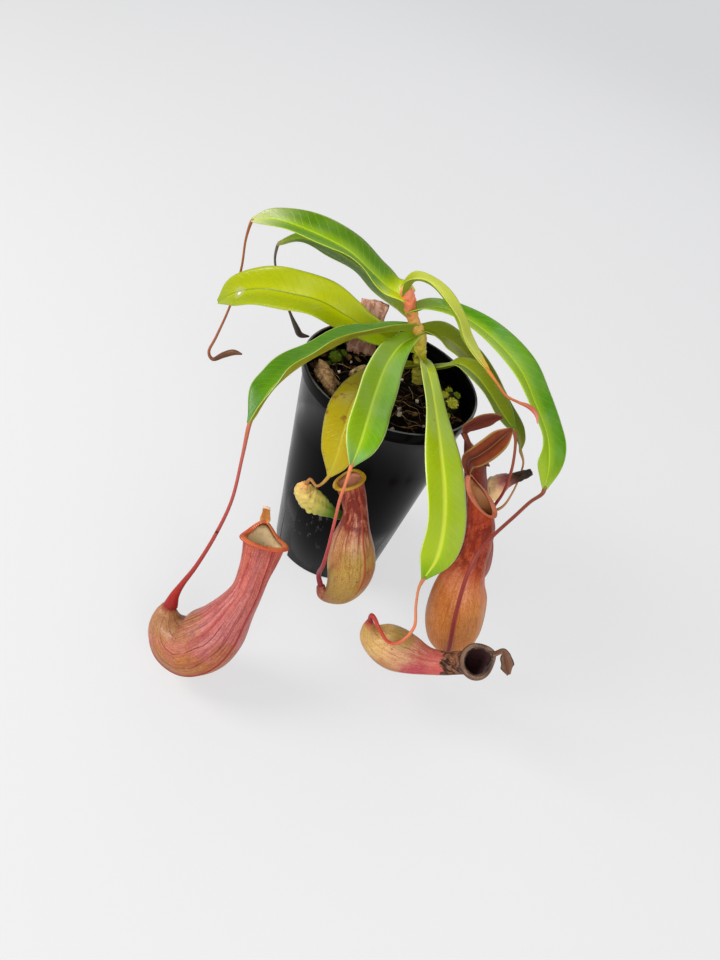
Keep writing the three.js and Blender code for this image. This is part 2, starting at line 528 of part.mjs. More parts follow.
// Gentle unevenness of the mix's surface, from a few waves that don't repeat together.
function soilWave(x, y) {
  const broad = 0.5 * Math.sin(x * 0.31 + 1.3) * Math.cos(y * 0.27);
  const slanted = 0.3 * Math.sin(x * 0.53 - y * 0.61);
  const fine = 0.2 * Math.cos(y * 0.9 + x * 0.2);
  return SOIL.bump * (broad + slanted + fine);
}

function pottingMix(tools) {
  const inside = (z) => outerRadius(z) - POT.lipStep - POT.wall - GAP;
  const bottom = DRAIN.height + 2;
  const top = inside(SOIL.level - SOIL.bump);
  const profile = [[0, bottom], [inside(bottom), bottom], [top, SOIL.level - SOIL.bump]];
  for (const share of SOIL.rings) profile.push([top * share, SOIL.level]);
  const points = profile.map(([radius, z]) => new THREE.Vector2(radius, z));
  const geometry = closedSkin(new THREE.LatheGeometry(points, SOIL.sides).rotateX(Math.PI / 2));
  const { position } = geometry.attributes;
  for (let i = 0; i < position.count; i += 1) {
    if (position.getZ(i) > SOIL.level - 0.01) {
      position.setZ(i, SOIL.level + soilWave(position.getX(i), position.getY(i)));
    }
  }
  return cut(geometry, ...tools);
}

// A piece of bark: a block, worn round, that thins unevenly towards both ends and bows.
function barkPiece({ at, size, round, turn }, grow = 0) {
  const half = vec(size).addScalar(2 * grow).divideScalar(2);
  const geometry = new THREE.BoxGeometry(2, 2, 2, 3, 3, 4);
  const { position } = geometry.attributes;
  const point = new THREE.Vector3();
  for (let i = 0; i < position.count; i += 1) {
    point.fromBufferAttribute(position, i);
    point.multiplyScalar(THREE.MathUtils.lerp(1, 1 / point.length(), round));
    const wave = BARK_SHAPE.wave * Math.sin(BARK_SHAPE.waveTurns * (point.z + point.x / 2));
    const taper = 1 - BARK_SHAPE.taper * Math.abs(point.z) - wave;
    const bow = BARK_SHAPE.bow * Math.sin(BARK_SHAPE.bowTurns * point.x);
    point.set(point.x * taper, point.y * taper + bow, point.z).multiply(half);
    position.setXYZ(i, ...point.toArray());
  }
  const [tiltX, tiltY, tiltZ] = turn.map(THREE.MathUtils.degToRad);
  geometry.rotateX(tiltX).rotateY(tiltY).rotateZ(tiltZ).translate(...at);
  return closedSkin(geometry);
}

// A cushion of moss: a low dome with lumps.
function mossCushion({ at, radii }, grow = 0) {
  const [rx, ry, rz] = radii.map((radius) => radius + grow);
  const geometry = new THREE.SphereGeometry(1, MOSS_SHAPE.sides, MOSS_SHAPE.rings);
  const { position } = geometry.attributes;
  for (let i = 0; i < position.count; i += 1) {
    const [x, y, z] = [position.getX(i), position.getY(i), position.getZ(i)];
    const waves = Math.sin(MOSS_SHAPE.wavesX * x + 1) * Math.sin(MOSS_SHAPE.wavesY * y + 2);
    const lump = 1 + MOSS_SHAPE.lump * waves * Math.max(0, z - MOSS_SHAPE.lumpsAbove);
    position.setXYZ(i, x * rx * lump, y * ry * lump, z * rz * lump);
  }
  geometry.translate(...at);
  return closedSkin(geometry);
}

// ---------------------------------------------------------------- assembly
const group = new THREE.Group();

function addPiece(name, geometry, finish) {
  const mesh = new THREE.Mesh(geometry, new THREE.MeshStandardMaterial({ ...FINISH[finish], metalness: 0 }));
  mesh.name = name;
  group.add(mesh);
}

const grown = (line, amount) => line.map(([x, y, z, radius]) => [x, y, z, radius + amount]);

// The room that the stem takes, a little wider and longer than the stem itself.
function stemSpace() {
  const longer = grown(STEM_LINE, GAP);
  longer[0].splice(0, 3, ...stepTowards(STEM_LINE[0], STEM_LINE[1], -2 * GAP));
  longer.at(-1).splice(0, 3, ...stepTowards(STEM_LINE.at(-1), STEM_LINE.at(-2), -2 * GAP));
  return roundBar(longer, STEM.sides, STEM.steps);
}

addPiece('pot', potShell(), 'pot');
addPiece('stem', roundBar(STEM_LINE, STEM.sides, STEM.steps), 'stem');

const pockets = [stemSpace()];
for (const [name, chip] of Object.entries(BARK)) {
  addPiece(name, barkPiece(chip), 'bark');
  pockets.push(barkPiece(chip, 2 * GAP));
}
for (const [name, cushion] of Object.entries(MOSS)) {
  addPiece(name, mossCushion(cushion), 'moss');
  pockets.push(mossCushion(cushion, GAP));
}
addPiece('potting_mix', pottingMix(pockets), 'soil');

for (const [name, leaf] of Object.entries(LEAVES)) {
  addPiece(name, largestPiece(cut(blade(leaf), stemSpace())), leaf.finish);
}
for (const [name, line] of Object.entries(TENDRILS)) {
  addPiece(name, tendril(line), line.finish);
}
for (const [name, pitcher] of Object.entries(PITCHERS)) {
  addPiece(name, cup(pitcher), pitcher.finish);
  addPiece(`${name}_lip`, lipRing(pitcher), pitcher.lip);
}
for (const [name, { line, finish }] of Object.entries(CLOSED_PITCHERS)) {
  addPiece(name, roundBar(line, CUP.sides - 4, (line.length - 1) * 2), finish);
}
for (const [name, lid] of Object.entries(LIDS)) {
  addPiece(name, lidBlade(lid), lid.finish);
}

export default group;
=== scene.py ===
# %% [markdown]
# # A potted pitcher plant
# The plant grows in a slim black nursery tube. Its leaves end in tendrils, and the tendrils in
# pitchers: cups with a rolled lip and a lid. The CAD model gives every piece its place and size.
# Here each piece gets a finer surface in that same place, and a finish made of nodes.

# %% Load the frame
import json
import math
import random

import bmesh
import bpy
from mathutils import Euler, Matrix, Vector, noise

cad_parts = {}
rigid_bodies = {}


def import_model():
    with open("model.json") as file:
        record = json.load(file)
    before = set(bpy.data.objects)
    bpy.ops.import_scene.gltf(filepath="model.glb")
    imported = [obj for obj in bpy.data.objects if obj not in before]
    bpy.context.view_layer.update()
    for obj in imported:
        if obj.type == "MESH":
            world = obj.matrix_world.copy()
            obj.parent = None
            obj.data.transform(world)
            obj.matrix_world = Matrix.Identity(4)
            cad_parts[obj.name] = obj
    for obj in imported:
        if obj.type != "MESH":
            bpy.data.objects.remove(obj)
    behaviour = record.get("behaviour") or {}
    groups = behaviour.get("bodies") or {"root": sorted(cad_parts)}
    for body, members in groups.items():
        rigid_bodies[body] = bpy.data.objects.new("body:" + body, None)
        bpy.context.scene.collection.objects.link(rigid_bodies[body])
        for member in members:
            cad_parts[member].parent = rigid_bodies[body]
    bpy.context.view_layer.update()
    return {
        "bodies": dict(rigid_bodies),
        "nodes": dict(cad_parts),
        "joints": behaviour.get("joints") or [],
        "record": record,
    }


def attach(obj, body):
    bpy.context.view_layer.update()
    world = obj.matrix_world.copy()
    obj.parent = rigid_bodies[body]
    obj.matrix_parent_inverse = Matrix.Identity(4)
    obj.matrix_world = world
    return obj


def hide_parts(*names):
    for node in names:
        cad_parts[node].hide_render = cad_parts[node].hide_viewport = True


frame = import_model()
MM = 0.001  # the tables below are in millimetres, and Blender works in metres
print("CAD nodes:", len(frame["nodes"]))

# %% [markdown]
# ## Camera, floor and light
# The pot is upright here, so a rolled camera gives the tilted view. It looks down on the plant, and
# its lens and place were fitted to the pot's rim and sides. The floor is plain and pale. One broad
# lamp from the left makes the long highlight on the pot, and a second keeps the right side open.

# %% Camera, floor and light
CAMERA_PLACE = Vector((0, -333, 321.3)) * MM
LOOK = Vector((0.0098, 0.7715, -0.6362))
PICTURE_DOWN = Vector((0.3644, -0.5952, -0.7162))
LENS = 31.875  # with a 36 mm sensor along the picture's long side


def aimed(place, look, up):
    """The matrix of a camera or lamp at place that looks along look."""
    back = -look.normalized()
    right = up.cross(back).normalized()
    turn = Matrix((right, back.cross(right), back)).transposed()
    return Matrix.Translation(place) @ turn.to_4x4()


camera = bpy.data.objects.new("camera", bpy.data.cameras.new("camera"))
camera.data.lens = LENS
camera.data.sensor_width = 36
camera.data.clip_start = 0.01
camera.matrix_world = aimed(CAMERA_PLACE, LOOK, -PICTURE_DOWN)
bpy.context.scene.collection.objects.link(camera)
bpy.context.scene.camera = camera


def add_lamp(name, place, size, watts, colour):
    """A square soft lamp that looks at the middle of the plant."""
    lamp = bpy.data.lights.new(name, "AREA")
    lamp.shape = "SQUARE"
    lamp.size = size
    lamp.energy = watts
    lamp.color = colour
    holder = bpy.data.objects.new(name, lamp)
    target = Vector((0, -20, 90)) * MM
    holder.matrix_world = aimed(Vector(place), target - Vector(place), Vector((0, 0, 1)))
    bpy.context.scene.collection.objects.link(holder)


add_lamp("window", (-0.75, -0.2, 0.6), 0.4, 6.5, (1, 0.98, 0.95))
add_lamp("front", (0.25, -0.95, 0.7), 0.9, 9, (1, 0.99, 0.97))
add_lamp("behind", (0.1, 0.9, 0.9), 0.9, 3, (0.97, 0.99, 1))

world = bpy.data.worlds.new("studio")
world.use_nodes = True
world.node_tree.nodes["Background"].inputs["Color"].default_value = (0.93, 0.95, 1, 1)
world.node_tree.nodes["Background"].inputs["Strength"].default_value = 0.4
bpy.context.scene.world = world
bpy.context.scene.view_settings.view_transform = "Standard"


# %% [markdown]
# ## A short way to write node materials
# Every finish below is a few layers of noise, bands and ramps in front of one Principled surface.
# This helper adds one node per call and hands back its output, so a finish reads like a recipe.
# A pattern that follows a piece reads its own "Skin" map: first number round or across the piece,
# second number along it. A pattern that doesn't follow it reads Object coordinates.

# %% The finish helper
def tint(hex_code):
    """A colour written as in a paint chart, as the linear values that Blender wants."""
    parts = [int(hex_code[i : i + 2], 16) / 255 for i in (0, 2, 4)]
    return [p / 12.92 if p <= 0.04045 else ((p + 0.055) / 1.055) ** 2.4 for p in parts] + [1]


class Finish:
    """One material, built up by short calls. Its colour is a stack of coats."""

    def __init__(self, name, roughness, shine, **constants):
        self.material = bpy.data.materials.new(name)
        self.material.use_nodes = True
        self.nodes = self.material.node_tree.nodes
        self.surface = self.nodes["Principled BSDF"]
        constants = {"Roughness": roughness, "Specular_IOR_Level": shine, **constants}
        for socket, value in constants.items():
            self.surface.inputs[socket.replace("_", " ")].default_value = value
        self.spot = self.add("TexCoord", {}).outputs["Object"]
        self.colour = None

    def feed(self, socket, value):
        """Links another node's output to a socket, or sets it to a number or a chart colour."""
        if isinstance(value, bpy.types.NodeSocket):
            self.material.node_tree.links.new(value, socket)
        else:
            socket.default_value = tint(value) if isinstance(value, str) else value

    def add(self, kind, inputs, **settings):
        node = self.nodes.new("ShaderNode" + kind)
        for key, value in settings.items():
            setattr(node, key, value)
        for key, value in inputs.items():
            self.feed(node.inputs[key], value)
        return node

    def soft(self, weight, scale_mm, radius=(1, 0.2, 0.1)):
        """Lets some light in under the surface."""
        for key, value in (("Weight", weight), ("Scale", scale_mm * MM), ("Radius", radius)):
            self.surface.inputs["Subsurface " + key].default_value = value

    def stretched(self, *scale):
        return self.add("Mapping", {"Vector": self.spot, "Scale": scale}).outputs["Vector"]

    def skin(self):
        """The two numbers of the piece's own map."""
        both = self.add("UVMap", {}, uv_map="Skin").outputs["UV"]
        split = self.add("SeparateXYZ", {"Vector": both})
        return split.outputs["X"], split.outputs["Y"]

    def sum(self, kind, a, b=0.0, c=0.0):
        return self.add("Math", {0: a, 1: b, 2: c}, operation=kind).outputs["Value"]

    def times(self, a, b):
        return self.sum("MULTIPLY", a, b)

    def plus(self, a, b):
        return self.sum("ADD", a, b)

    def apart(self, a, b):
        return self.sum("ABSOLUTE", self.sum("SUBTRACT", a, b))

    def noise(self, scale, detail=3.0, roughness=0.5, distortion=0.0, spot=None):
        inputs = {"Vector": spot or self.spot, "Scale": scale, "Detail": detail}
        inputs.update(Roughness=roughness, Distortion=distortion)
        return self.add("TexNoise", inputs).outputs["Fac"]

    def cells(self, scale, feature="F1", spot=None):
        inputs = {"Vector": spot or self.spot, "Scale": scale}
        return self.add("TexVoronoi", inputs, feature=feature).outputs["Distance"]

    def step(self, value, low, high, start=0.0, end=1.0):
        """A soft step: start below low, end above high."""
        inputs = {"Value": value, "From Min": low, "From Max": high, "To Min": start, "To Max": end}
        return self.add("MapRange", inputs, interpolation_type="SMOOTHSTEP").outputs["Result"]

    def distance(self, *millimetres):
        """How far a point of the piece is from a place, in metres."""
        ends = {0: self.spot, 1: Vector(millimetres) * MM}
        return self.add("VectorMath", ends, operation="DISTANCE").outputs["Value"]

    def near(self, x, y, z, reach, ragged=0.5):
        """1 close to a place given in millimetres, 0 past its reach, with a ragged edge."""
        uneven = self.noise(320, 4, 0.6)
        edge = self.sum("MULTIPLY_ADD", uneven, -ragged * reach * MM, self.distance(x, y, z))
        return self.step(edge, reach * MM * (1 - ragged / 2), reach * MM * (0.5 - ragged / 2))

    def ramp(self, value, stops):
        """Chart colours spread along a value that runs from 0 to 1."""
        node = self.add("ValToRGB", {"Fac": value})
        points = node.color_ramp.elements
        while len(points) < len(stops):
            points.new(0.5)
        for point, (position, colour) in zip(points, stops.items()):
            point.position = position
            point.color = tint(colour)
        return node.outputs["Color"]

    def mix(self, share, a, b):
        return self.add("Mix", {0: share, 6: a, 7: b}, data_type="RGBA").outputs[2]

    def coat(self, share, shade):
        """Lays a colour over what is there, as thickly as share says."""
        self.colour = self.mix(share, self.colour, shade)

    def flecks(self, shade, low, high, most, *grain):
        """A coat in patches: where noise of that grain passes from low to high."""
        self.coat(self.step(self.noise(*grain), low, high, 0, most), shade)

    def relief(self, height, depth_mm, strength):
        inputs = {"Height": height, "Distance": depth_mm * MM, "Strength": strength}
        return self.add("Bump", inputs).outputs["Normal"]

    def done(self, roughness=None, normal=None):
        found = {"Base Color": self.colour, "Roughness": roughness, "Normal": normal}
        for socket, value in found.items():
            if value is not None:
                self.feed(self.surface.inputs[socket], value)
        return self.material


# %% [markdown]
# ## Smooth lines and wrapped skins
# Leaves, tendrils and pitchers are all one idea: a grid is wrapped round, and each ring of it is
# placed along a smooth line through a few points. The grid comes from bmesh with its map, so the
# finish knows at every point how far round and how far along it is.

# %% Lines
class Line:
    """A smooth line through listed points: x, y, z and one size, in millimetres."""

    def __init__(self, rows):
        self.rows = [Vector(row) for row in rows]

    def at(self, t):
        last = len(self.rows) - 1
        place = min(max(t, 0.0), 1.0) * last
        i = min(int(place), last - 1)
        w = place - i
        start, end = self.rows[i], self.rows[i + 1]
        before = self.rows[i - 1] if i else 2 * start - end
        after = self.rows[i + 2] if i + 2 <= last else 2 * end - start
        leave, arrive = (end - before) / 2, (after - start) / 2
        bend = 3 * (end - start) - 2 * leave - arrive
        return start + leave * w + bend * w**2 + (2 * (start - end) + leave + arrive) * w**3

    def way(self, t, reach=1e-3):
        """Which way the line runs at t, taken over a stretch of it."""
        return (self.at(t + reach).to_3d() - self.at(t - reach).to_3d()).normalized()

    def frames(self, steps, far_normal, reach=1e-3):
        """Centre, size, way, normal and side at each step. The normal is carried from the far end."""
        normal = Vector(far_normal)
        found = []
        for i in range(steps, -1, -1):
            spot, way = self.at(i / steps), self.way(i / steps, reach)
            normal = (normal - way * normal.dot(way)).normalized()
            found.append((spot.to_3d(), spot[3], way, normal, way.cross(normal)))
        return found[::-1]


def on_ring(frame, angle, radius):
    """A point at an angle on a ring round one of a line's frames."""
    centre, _, _, normal, side = frame
    return centre + (normal * math.cos(angle) + side * math.sin(angle)) * radius


def soft_step(low, high, x):
    t = min(max((x - low) / (high - low), 0.0), 1.0)
    return t * t * (3 - 2 * t)


def rumple(point, size, amount):
    """Uneven noise of that size at a point, both in millimetres."""
    return noise.noise(Vector(point) / size) * amount


# %% Skins
WELD = 1e-6


def mapped_bmesh():
    bm = bmesh.new()
    return bm, bm.loops.layers.uv.new("Skin")


def smooth(bm):
    for face in bm.faces:
        face.smooth = True
    return bm


def wrapped_skin(around, along, place, slot_at=None):
    """A grid whose corners go where place(u, v) says, welded and closed where it meets itself."""
    bm, skin_map = mapped_bmesh()
    bmesh.ops.create_grid(bm, x_segments=around, y_segments=along, size=0.5, calc_uvs=True)
    for corner in bm.verts:
        corner.co = place(corner.co.x + 0.5, corner.co.y + 0.5) * MM
    if slot_at:
        for face in bm.faces:
            middle = sum((loop[skin_map].uv for loop in face.loops), Vector((0, 0))) / len(face.loops)
            face.material_index = slot_at(*middle)
    bmesh.ops.remove_doubles(bm, verts=bm.verts, dist=WELD)
    bmesh.ops.dissolve_degenerate(bm, edges=bm.edges, dist=WELD)
    open_edges = [edge for edge in bm.edges if edge.is_boundary]
    if open_edges:
        bmesh.ops.holes_fill(bm, edges=open_edges, sides=0)
    bmesh.ops.recalc_face_normals(bm, faces=bm.faces)
    return smooth(bm)


def mesh_object(bm, name, finishes=()):
    """Makes the bmesh an object of the scene."""
    mesh = bpy.data.meshes.new(name)
    bm.to_mesh(mesh)
    bm.free()
    for finish in finishes:
        mesh.materials.append(finish)
    made = bpy.data.objects.new(name, mesh)
    bpy.context.scene.collection.objects.link(made)
    return made


def add_piece(bm, name, finishes, *nodes, slot=None):
    """Makes the bmesh a piece that rides on the plant and stands for its CAD nodes. Its slot is not used.
    """
    piece = mesh_object(bm, name, finishes)
    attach(piece, "root")
    if nodes:
        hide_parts(*nodes)
    print(f"{name}: {len(piece.data.polygons)} faces")
    return piece


# %% [markdown]
# ## The leaves
# Each leaf is a thin blade along a spine, a little folded at its midrib. The section goes over the
# upper face and back along the underside, where the rib stands out. The two faces get finishes of
# their own: the upper one is waxy and green, the underside paler and duller.

# %% Leaf lines
# A spine's rows are x, y, z and half the width. Facing says which way the upper face looks there.
# Upper colours: left and right half as seen from the stem, near the rib, rib, foot, tip, margin.
# Under colours: blade, rib, foot, tip.
LEAVES = {
    "leaf_back_left": dict(
        fold=24, clasp=0.8, marks=dict(tip_from=0.66, painted_sheen=0.04),
        upper=("588604", "487000", "789A04", "A2BC08", "C6D000", "C2C68A", "B4C040"),
        under=("B4BC78", "BCC288", "B4BE2C", "CACCA4"),
        spine=[(-5, 17, 141, 3.4), (-15, 21, 141, 7), (-26, 26, 143, 9.8), (-41, 32, 146, 11.5),
               (-63, 38, 145, 10.3), (-79, 42, 142, 6), (-90, 45, 136, 1.2)],
        facing=[(-0.2, -0.4, 0.9), (0, -0.3, 0.9), (0.2, 0, 1), (0, -0.1, 1), (-0.2, -0.2, 1),
                (-0.4, -0.5, 0.8), (-0.4, -0.8, 0.5)],
    ),
    "leaf_far_left": dict(
        fold=18,
        upper=("4E7606", "587E08", "6E8E0C", "8A9C10", "8A9A10", "7A7E26", "A0A048"),
        under=("6E7C14", "8A8E28", "8A9026", "907E40"),
        spine=[(1, 20, 130, 2.3), (-17, 34, 130, 6.5), (-31, 42, 134, 9), (-48, 48, 135, 9),
               (-65, 52, 133, 6), (-77, 55, 124, 1.2)],
        facing=[(-0.1, -0.2, 1), (0.2, -0.1, 1), (0.1, -0.1, 1), (-0.1, -0.1, 1), (-0.4, -0.1, 0.9),
                (-0.6, -0.4, 0.7)],
    ),
    "leaf_pale_left": dict(
        fold=23, marks=dict(hole=(-84, 27, 106.5), rib_width=0.05, painted_sheen=0),
        upper=("8C9A00", "98A200", "A4AC00", "728806", "7A9408", "90A030", "B4C036"),
        spine=[(7, 20, 117, 2.4), (-16, 20, 118, 6.3), (-30, 20, 120.5, 9.2), (-44, 21, 122, 11.8),
               (-58, 23, 119, 12.2), (-73, 26, 114, 11), (-86, 29, 105, 8.2), (-94, 31, 95, 1.2)],
        facing=[(0, -0.6, 0.8), (0, -0.8, 0.5), (0, -0.7, 0.7), (-0.1, -0.5, 0.8), (-0.3, -0.5, 0.8),
                (-0.5, -0.6, 0.6), (-0.6, -0.7, 0.4), (-0.5, -0.8, 0.3)],
    ),
    "leaf_folded_left": dict(
        fold=36,
        upper=("4C8200", "427200", "5E8E04", "A0B43C", "5C8A10", "467820", "BCCC70"),
        under=("989C14", "B0AE3C", "8CA02C", "96942C"),
        spine=[(2, 18.5, 128.4, 2.8), (-11, 4.5, 129, 6), (-22, -8, 128, 8), (-30, -22, 126, 9.5),
               (-36, -34, 124, 10.5), (-41, -46, 121, 10.9), (-44, -56, 117, 9.5), (-46, -68, 109, 1.2)],
        facing=[(-0.3, 0.3, 0.9), (-0.3, 0.3, 0.9), (-0.4, 0.2, 0.9), (-0.5, 0.2, 0.8), (-0.6, 0.1, 0.8),
                (-0.7, 0, 0.8), (-0.7, -0.2, 0.7), (-0.9, -0.1, 0.5)],
    ),
    "leaf_front": dict(
        fold=17, marks=dict(painted_sheen=0.12, rib_width=0.1),
        upper=("6A9C0C", "84A808", "8CB210", "B4D03C", "7EA010", "5A9438", "C2D47C"),
        spine=[(5, 20, 125, 3), (-1, 4, 126, 5.2), (-4, -14, 125, 8.2), (-4, -34, 123, 9.8),
               (-3, -52, 122, 9.4), (-2, -66, 118, 7.2), (-2, -73, 112, 1.2)],
        facing=[(-0.2, 0, 1), (0, -0.1, 1), (0.4, -0.1, 0.9), (0.5, -0.1, 0.9), (0.4, -0.1, 0.9),
                (0.3, -0.4, 0.9), (0.5, -0.6, 0.7)],
    ),
    "leaf_yellow": dict(
        fold=12, marks=dict(painted_sheen=0, patch="8A5420"),
        upper=("A48C08", "AA980C", "AE9E18", "BCAE24", "848E10", "AA9E2A", "C6B850"),
        under=("A08818", "AC9832", "7E8A18", "9E861C"),
        spine=[(10, 20, 109, 2.2), (-5.5, -6, 116, 4.6), (-9.5, -25, 117.3, 8.2), (-11, -42, 117, 9.5),
               (-10, -54, 112, 9), (-9, -60, 104, 7.5), (-9, -62, 94, 1.2)],
        facing=[(-0.2, -0.1, 1), (-0.3, -0.1, 1), (-0.3, -0.1, 1), (-0.2, -0.2, 1), (-0.4, -0.6, 0.8),
                (-0.4, -0.9, 0.4), (-0.4, -0.9, 0.2)],
    ),
    "leaf_long_front": dict(
        fold=12, marks=dict(painted_sheen=0.06, rib_width=0.16),
        upper=("94AC24", "A0BA00", "A0BC10", "C8D63C", "A4B400", "6E9E0C", "D0D68A"),
        spine=[(9, 20, 113, 2.2), (14, 0, 121, 4.2), (22, -30, 123, 7.2), (30, -54, 119, 9.8),
               (36, -66, 112, 11), (41, -73, 101, 10.6), (44, -77, 87, 8.6), (43, -79, 75, 1.4)],
        facing=[(0, 0, 1), (0.2, 0.1, 1), (0.4, 0.1, 0.9), (0.4, -0.1, 0.9), (0.5, -0.4, 0.8),
                (0.6, -0.6, 0.5), (0.5, -0.9, 0.2), (0.3, -0.9, 0.1)],
    ),
    "leaf_young": dict(
        fold=40, marks=dict(painted_sheen=0, rib_width=0.2),
        upper=("A6AE40", "AEB846", "B8C050", "D0D24E", "A8B22C", "C88A2C", "C6CA62"),
        spine=[(-8, 16, 145, 2.6), (-6, 6, 157, 3.8), (1, -2, 162, 3.8), (9, -10, 162, 4.4),
               (17, -16, 158, 4.8), (22, -20, 153.5, 4.2), (29, -22, 149, 3.2), (36, -24, 146, 1)],
        facing=[(-0.5, -0.6, 0.3), (-0.6, -0.3, 0.7), (-0.2, -0.1, 1), (0.2, -0.1, 1), (0.5, -0.1, 0.9),
                (0.5, -0.2, 0.8), (0.4, -0.3, 0.8), (0.3, -0.5, 0.8)],
    ),
    "leaf_right": dict(
        fold=22, wave=0.15, marks=dict(painted_sheen=0.12),
        upper=("4A8606", "9AB820", "86AC1C", "ACC82A", "7A9A14", "9AB428", "AACC3C"),
        under=("8AAA20", "A0B830", "88A822", "90AE2C"),
        spine=[(-3, 18, 135, 3), (5, 12, 145, 3.8), (17, 6, 149.5, 6), (33, -1, 149, 8.6),
               (50, -8, 143, 10.6), (62, -13, 133, 11.2), (72, -16, 123, 10), (79, -18, 111, 7),
               (83, -20, 98, 1.3)],
        facing=[(-0.6, -0.3, 0.7), (-0.5, -0.3, 0.8), (-0.3, -0.1, 1), (0, -0.1, 1), (0.4, -0.2, 0.9),
                (0.5, -0.2, 0.8), (0.6, -0.3, 0.8), (0.4, -0.9, 0.3), (0.1, -1, 0.1)],
    ),
    "leaf_back_right": dict(
        fold=15, marks=dict(painted_sheen=0),
        upper=("5E6E00", "6E7600", "767C0A", "8E9014", "7C8C10", "82760A", "A0A43A"),
        spine=[(3, 20, 127, 2.3), (17, 23, 127, 7.5), (29, 21, 124, 9), (42, 18, 117, 8),
               (54, 15, 109, 7), (64, 12, 102, 6), (69, 11, 97, 4.2), (71, 11, 92, 1)],
        facing=[(0, 0, 1), (0.2, -0.2, 1), (0.3, -0.2, 1), (0.4, -0.2, 0.9), (0.5, -0.2, 0.8),
                (0.6, -0.2, 0.7), (0.7, -0.3, 0.5), (0.8, -0.5, 0.3)],
    ),
    "leaf_low_right": dict(
        fold=20,
        upper=("7A8600", "566A00", "82900A", "ACBA2C", "7C8E18", "607E08", "A0AE40"),
        under=("6C780E", "888F20", "788218", "6A7810"),
        spine=[(11, 20, 106.5, 2.2), (21, 9, 120.5, 3.2), (27, 7, 126, 5.2), (36, 4, 125, 8),
               (45, 2, 120, 8.4), (53, 1, 114, 7.8), (62, 0, 108, 1.2)],
        facing=[(-0.6, 0.3, 0.7), (-0.5, 0.2, 0.8), (-0.2, 0, 1), (0.3, -0.1, 1), (0.5, -0.2, 0.8),
                (0.5, -0.2, 0.8), (0.4, -0.5, 0.7)],
    ),
}

# %% Leaf blades
LEAF_THICKNESS = 0.8
RIB_HEIGHT, RIB_HALF_WIDTH = 0.55, 0.75
FOOT_FOLD = 44  # degrees at which every leaf's foot folds round the stem
LEAF_AROUND, LEAF_ALONG = 56, 120


def across_of(u):
    """Where a corner of the section lies from margin to margin, closer together near the midrib."""
    c = 4 * u - 1 if u <= 0.5 else 3 - 4 * u
    return c * (0.4 + 0.6 * abs(c))


def blade_point(leaf, spine, facing, u, t):
    """A point of a blade: u goes over the upper face and back under, t from stem to tip."""
    spot, way, up = spine.at(t), spine.way(t), facing.at(t)
    up = (up - way * up.dot(way)).normalized()
    side = way.cross(up)
    channel = 1 - soft_step(0.02, 0.2, t)
    width = max(spot[3], 0.8) * (1 + leaf.get("clasp", 0.4) * channel)
    across = across_of(u)
    off = abs(across)
    fold = math.radians(leaf["fold"] + (FOOT_FOLD - leaf["fold"]) * channel)
    trough = math.sqrt(off**2 + 0.012) - 0.11 - leaf.get("curl", 0.12) * off**4
    wave = leaf.get("wave", 0.5) * off**2 * math.sin(t * 19 + (2.1 if across > 0 else 0))
    wave *= soft_step(0, 0.25, t) * soft_step(1, 0.75, t) * width / 9
    half = LEAF_THICKNESS / 2 * math.sqrt(max(0, 1 - off**8))
    rib = math.exp(-((across * width / RIB_HALF_WIDTH) ** 2)) * min(1, width / 4)
    lift = half - 0.22 * rib if u <= 0.5 else -half - RIB_HEIGHT * rib
    spread = across * width * math.cos(fold)
    return spot.to_3d() + side * spread + up * (trough * width * math.sin(fold) + wave + lift)


def leaf_blade(leaf):
    """A blade whose second finish is its underside."""
    spine, facing = Line(leaf["spine"]), Line(leaf["facing"])

    def place(u, t):
        return blade_point(leaf, spine, facing, u, t)

    return wrapped_skin(LEAF_AROUND, LEAF_ALONG, place, lambda u, t: int(u > 0.5))


# %% [markdown]
# ### The leaf's finish
# A leaf isn't one green. It is lighter along the rib and at the stem, deeper towards the margin,
# and each half is painted its own green, partly painted light and shade for the way that half
# faces the light. Pale patches of painted sheen stand in for its gloss. A pale line follows the
# margin, and faint veins run out from the rib. The old leaf is yellow with brown patches.

# %% Leaf finishes
DEFAULT_UNDER = ("889E1E", "A4B440", "94A626", "92A030")
LEAF_GLOW = dict(weight=0.12, scale_mm=1.2, radius=(0.6, 1, 0.2))


def from_rib(f):
    """How far a point is across the blade (-1 left margin, 1 right), off the rib, and along it."""
    u, along = f.skin()
    signed = f.sum("MULTIPLY_ADD", f.sum("PINGPONG", f.times(u, 2), 1), 2, -1)
    c = f.sum("ABSOLUTE", signed)
    return signed, f.times(c, f.sum("MULTIPLY_ADD", c, 0.6, 0.4)), along


def side_veins(f, off, along, bent=0.0):
    """Faint side veins, slanted towards the tip."""
    slant = f.sum("MULTIPLY_ADD", off, -2.4, f.times(along, 26))
    return f.step(f.sum("PINGPONG", f.plus(slant, bent), 0.5), 0.09, 0)


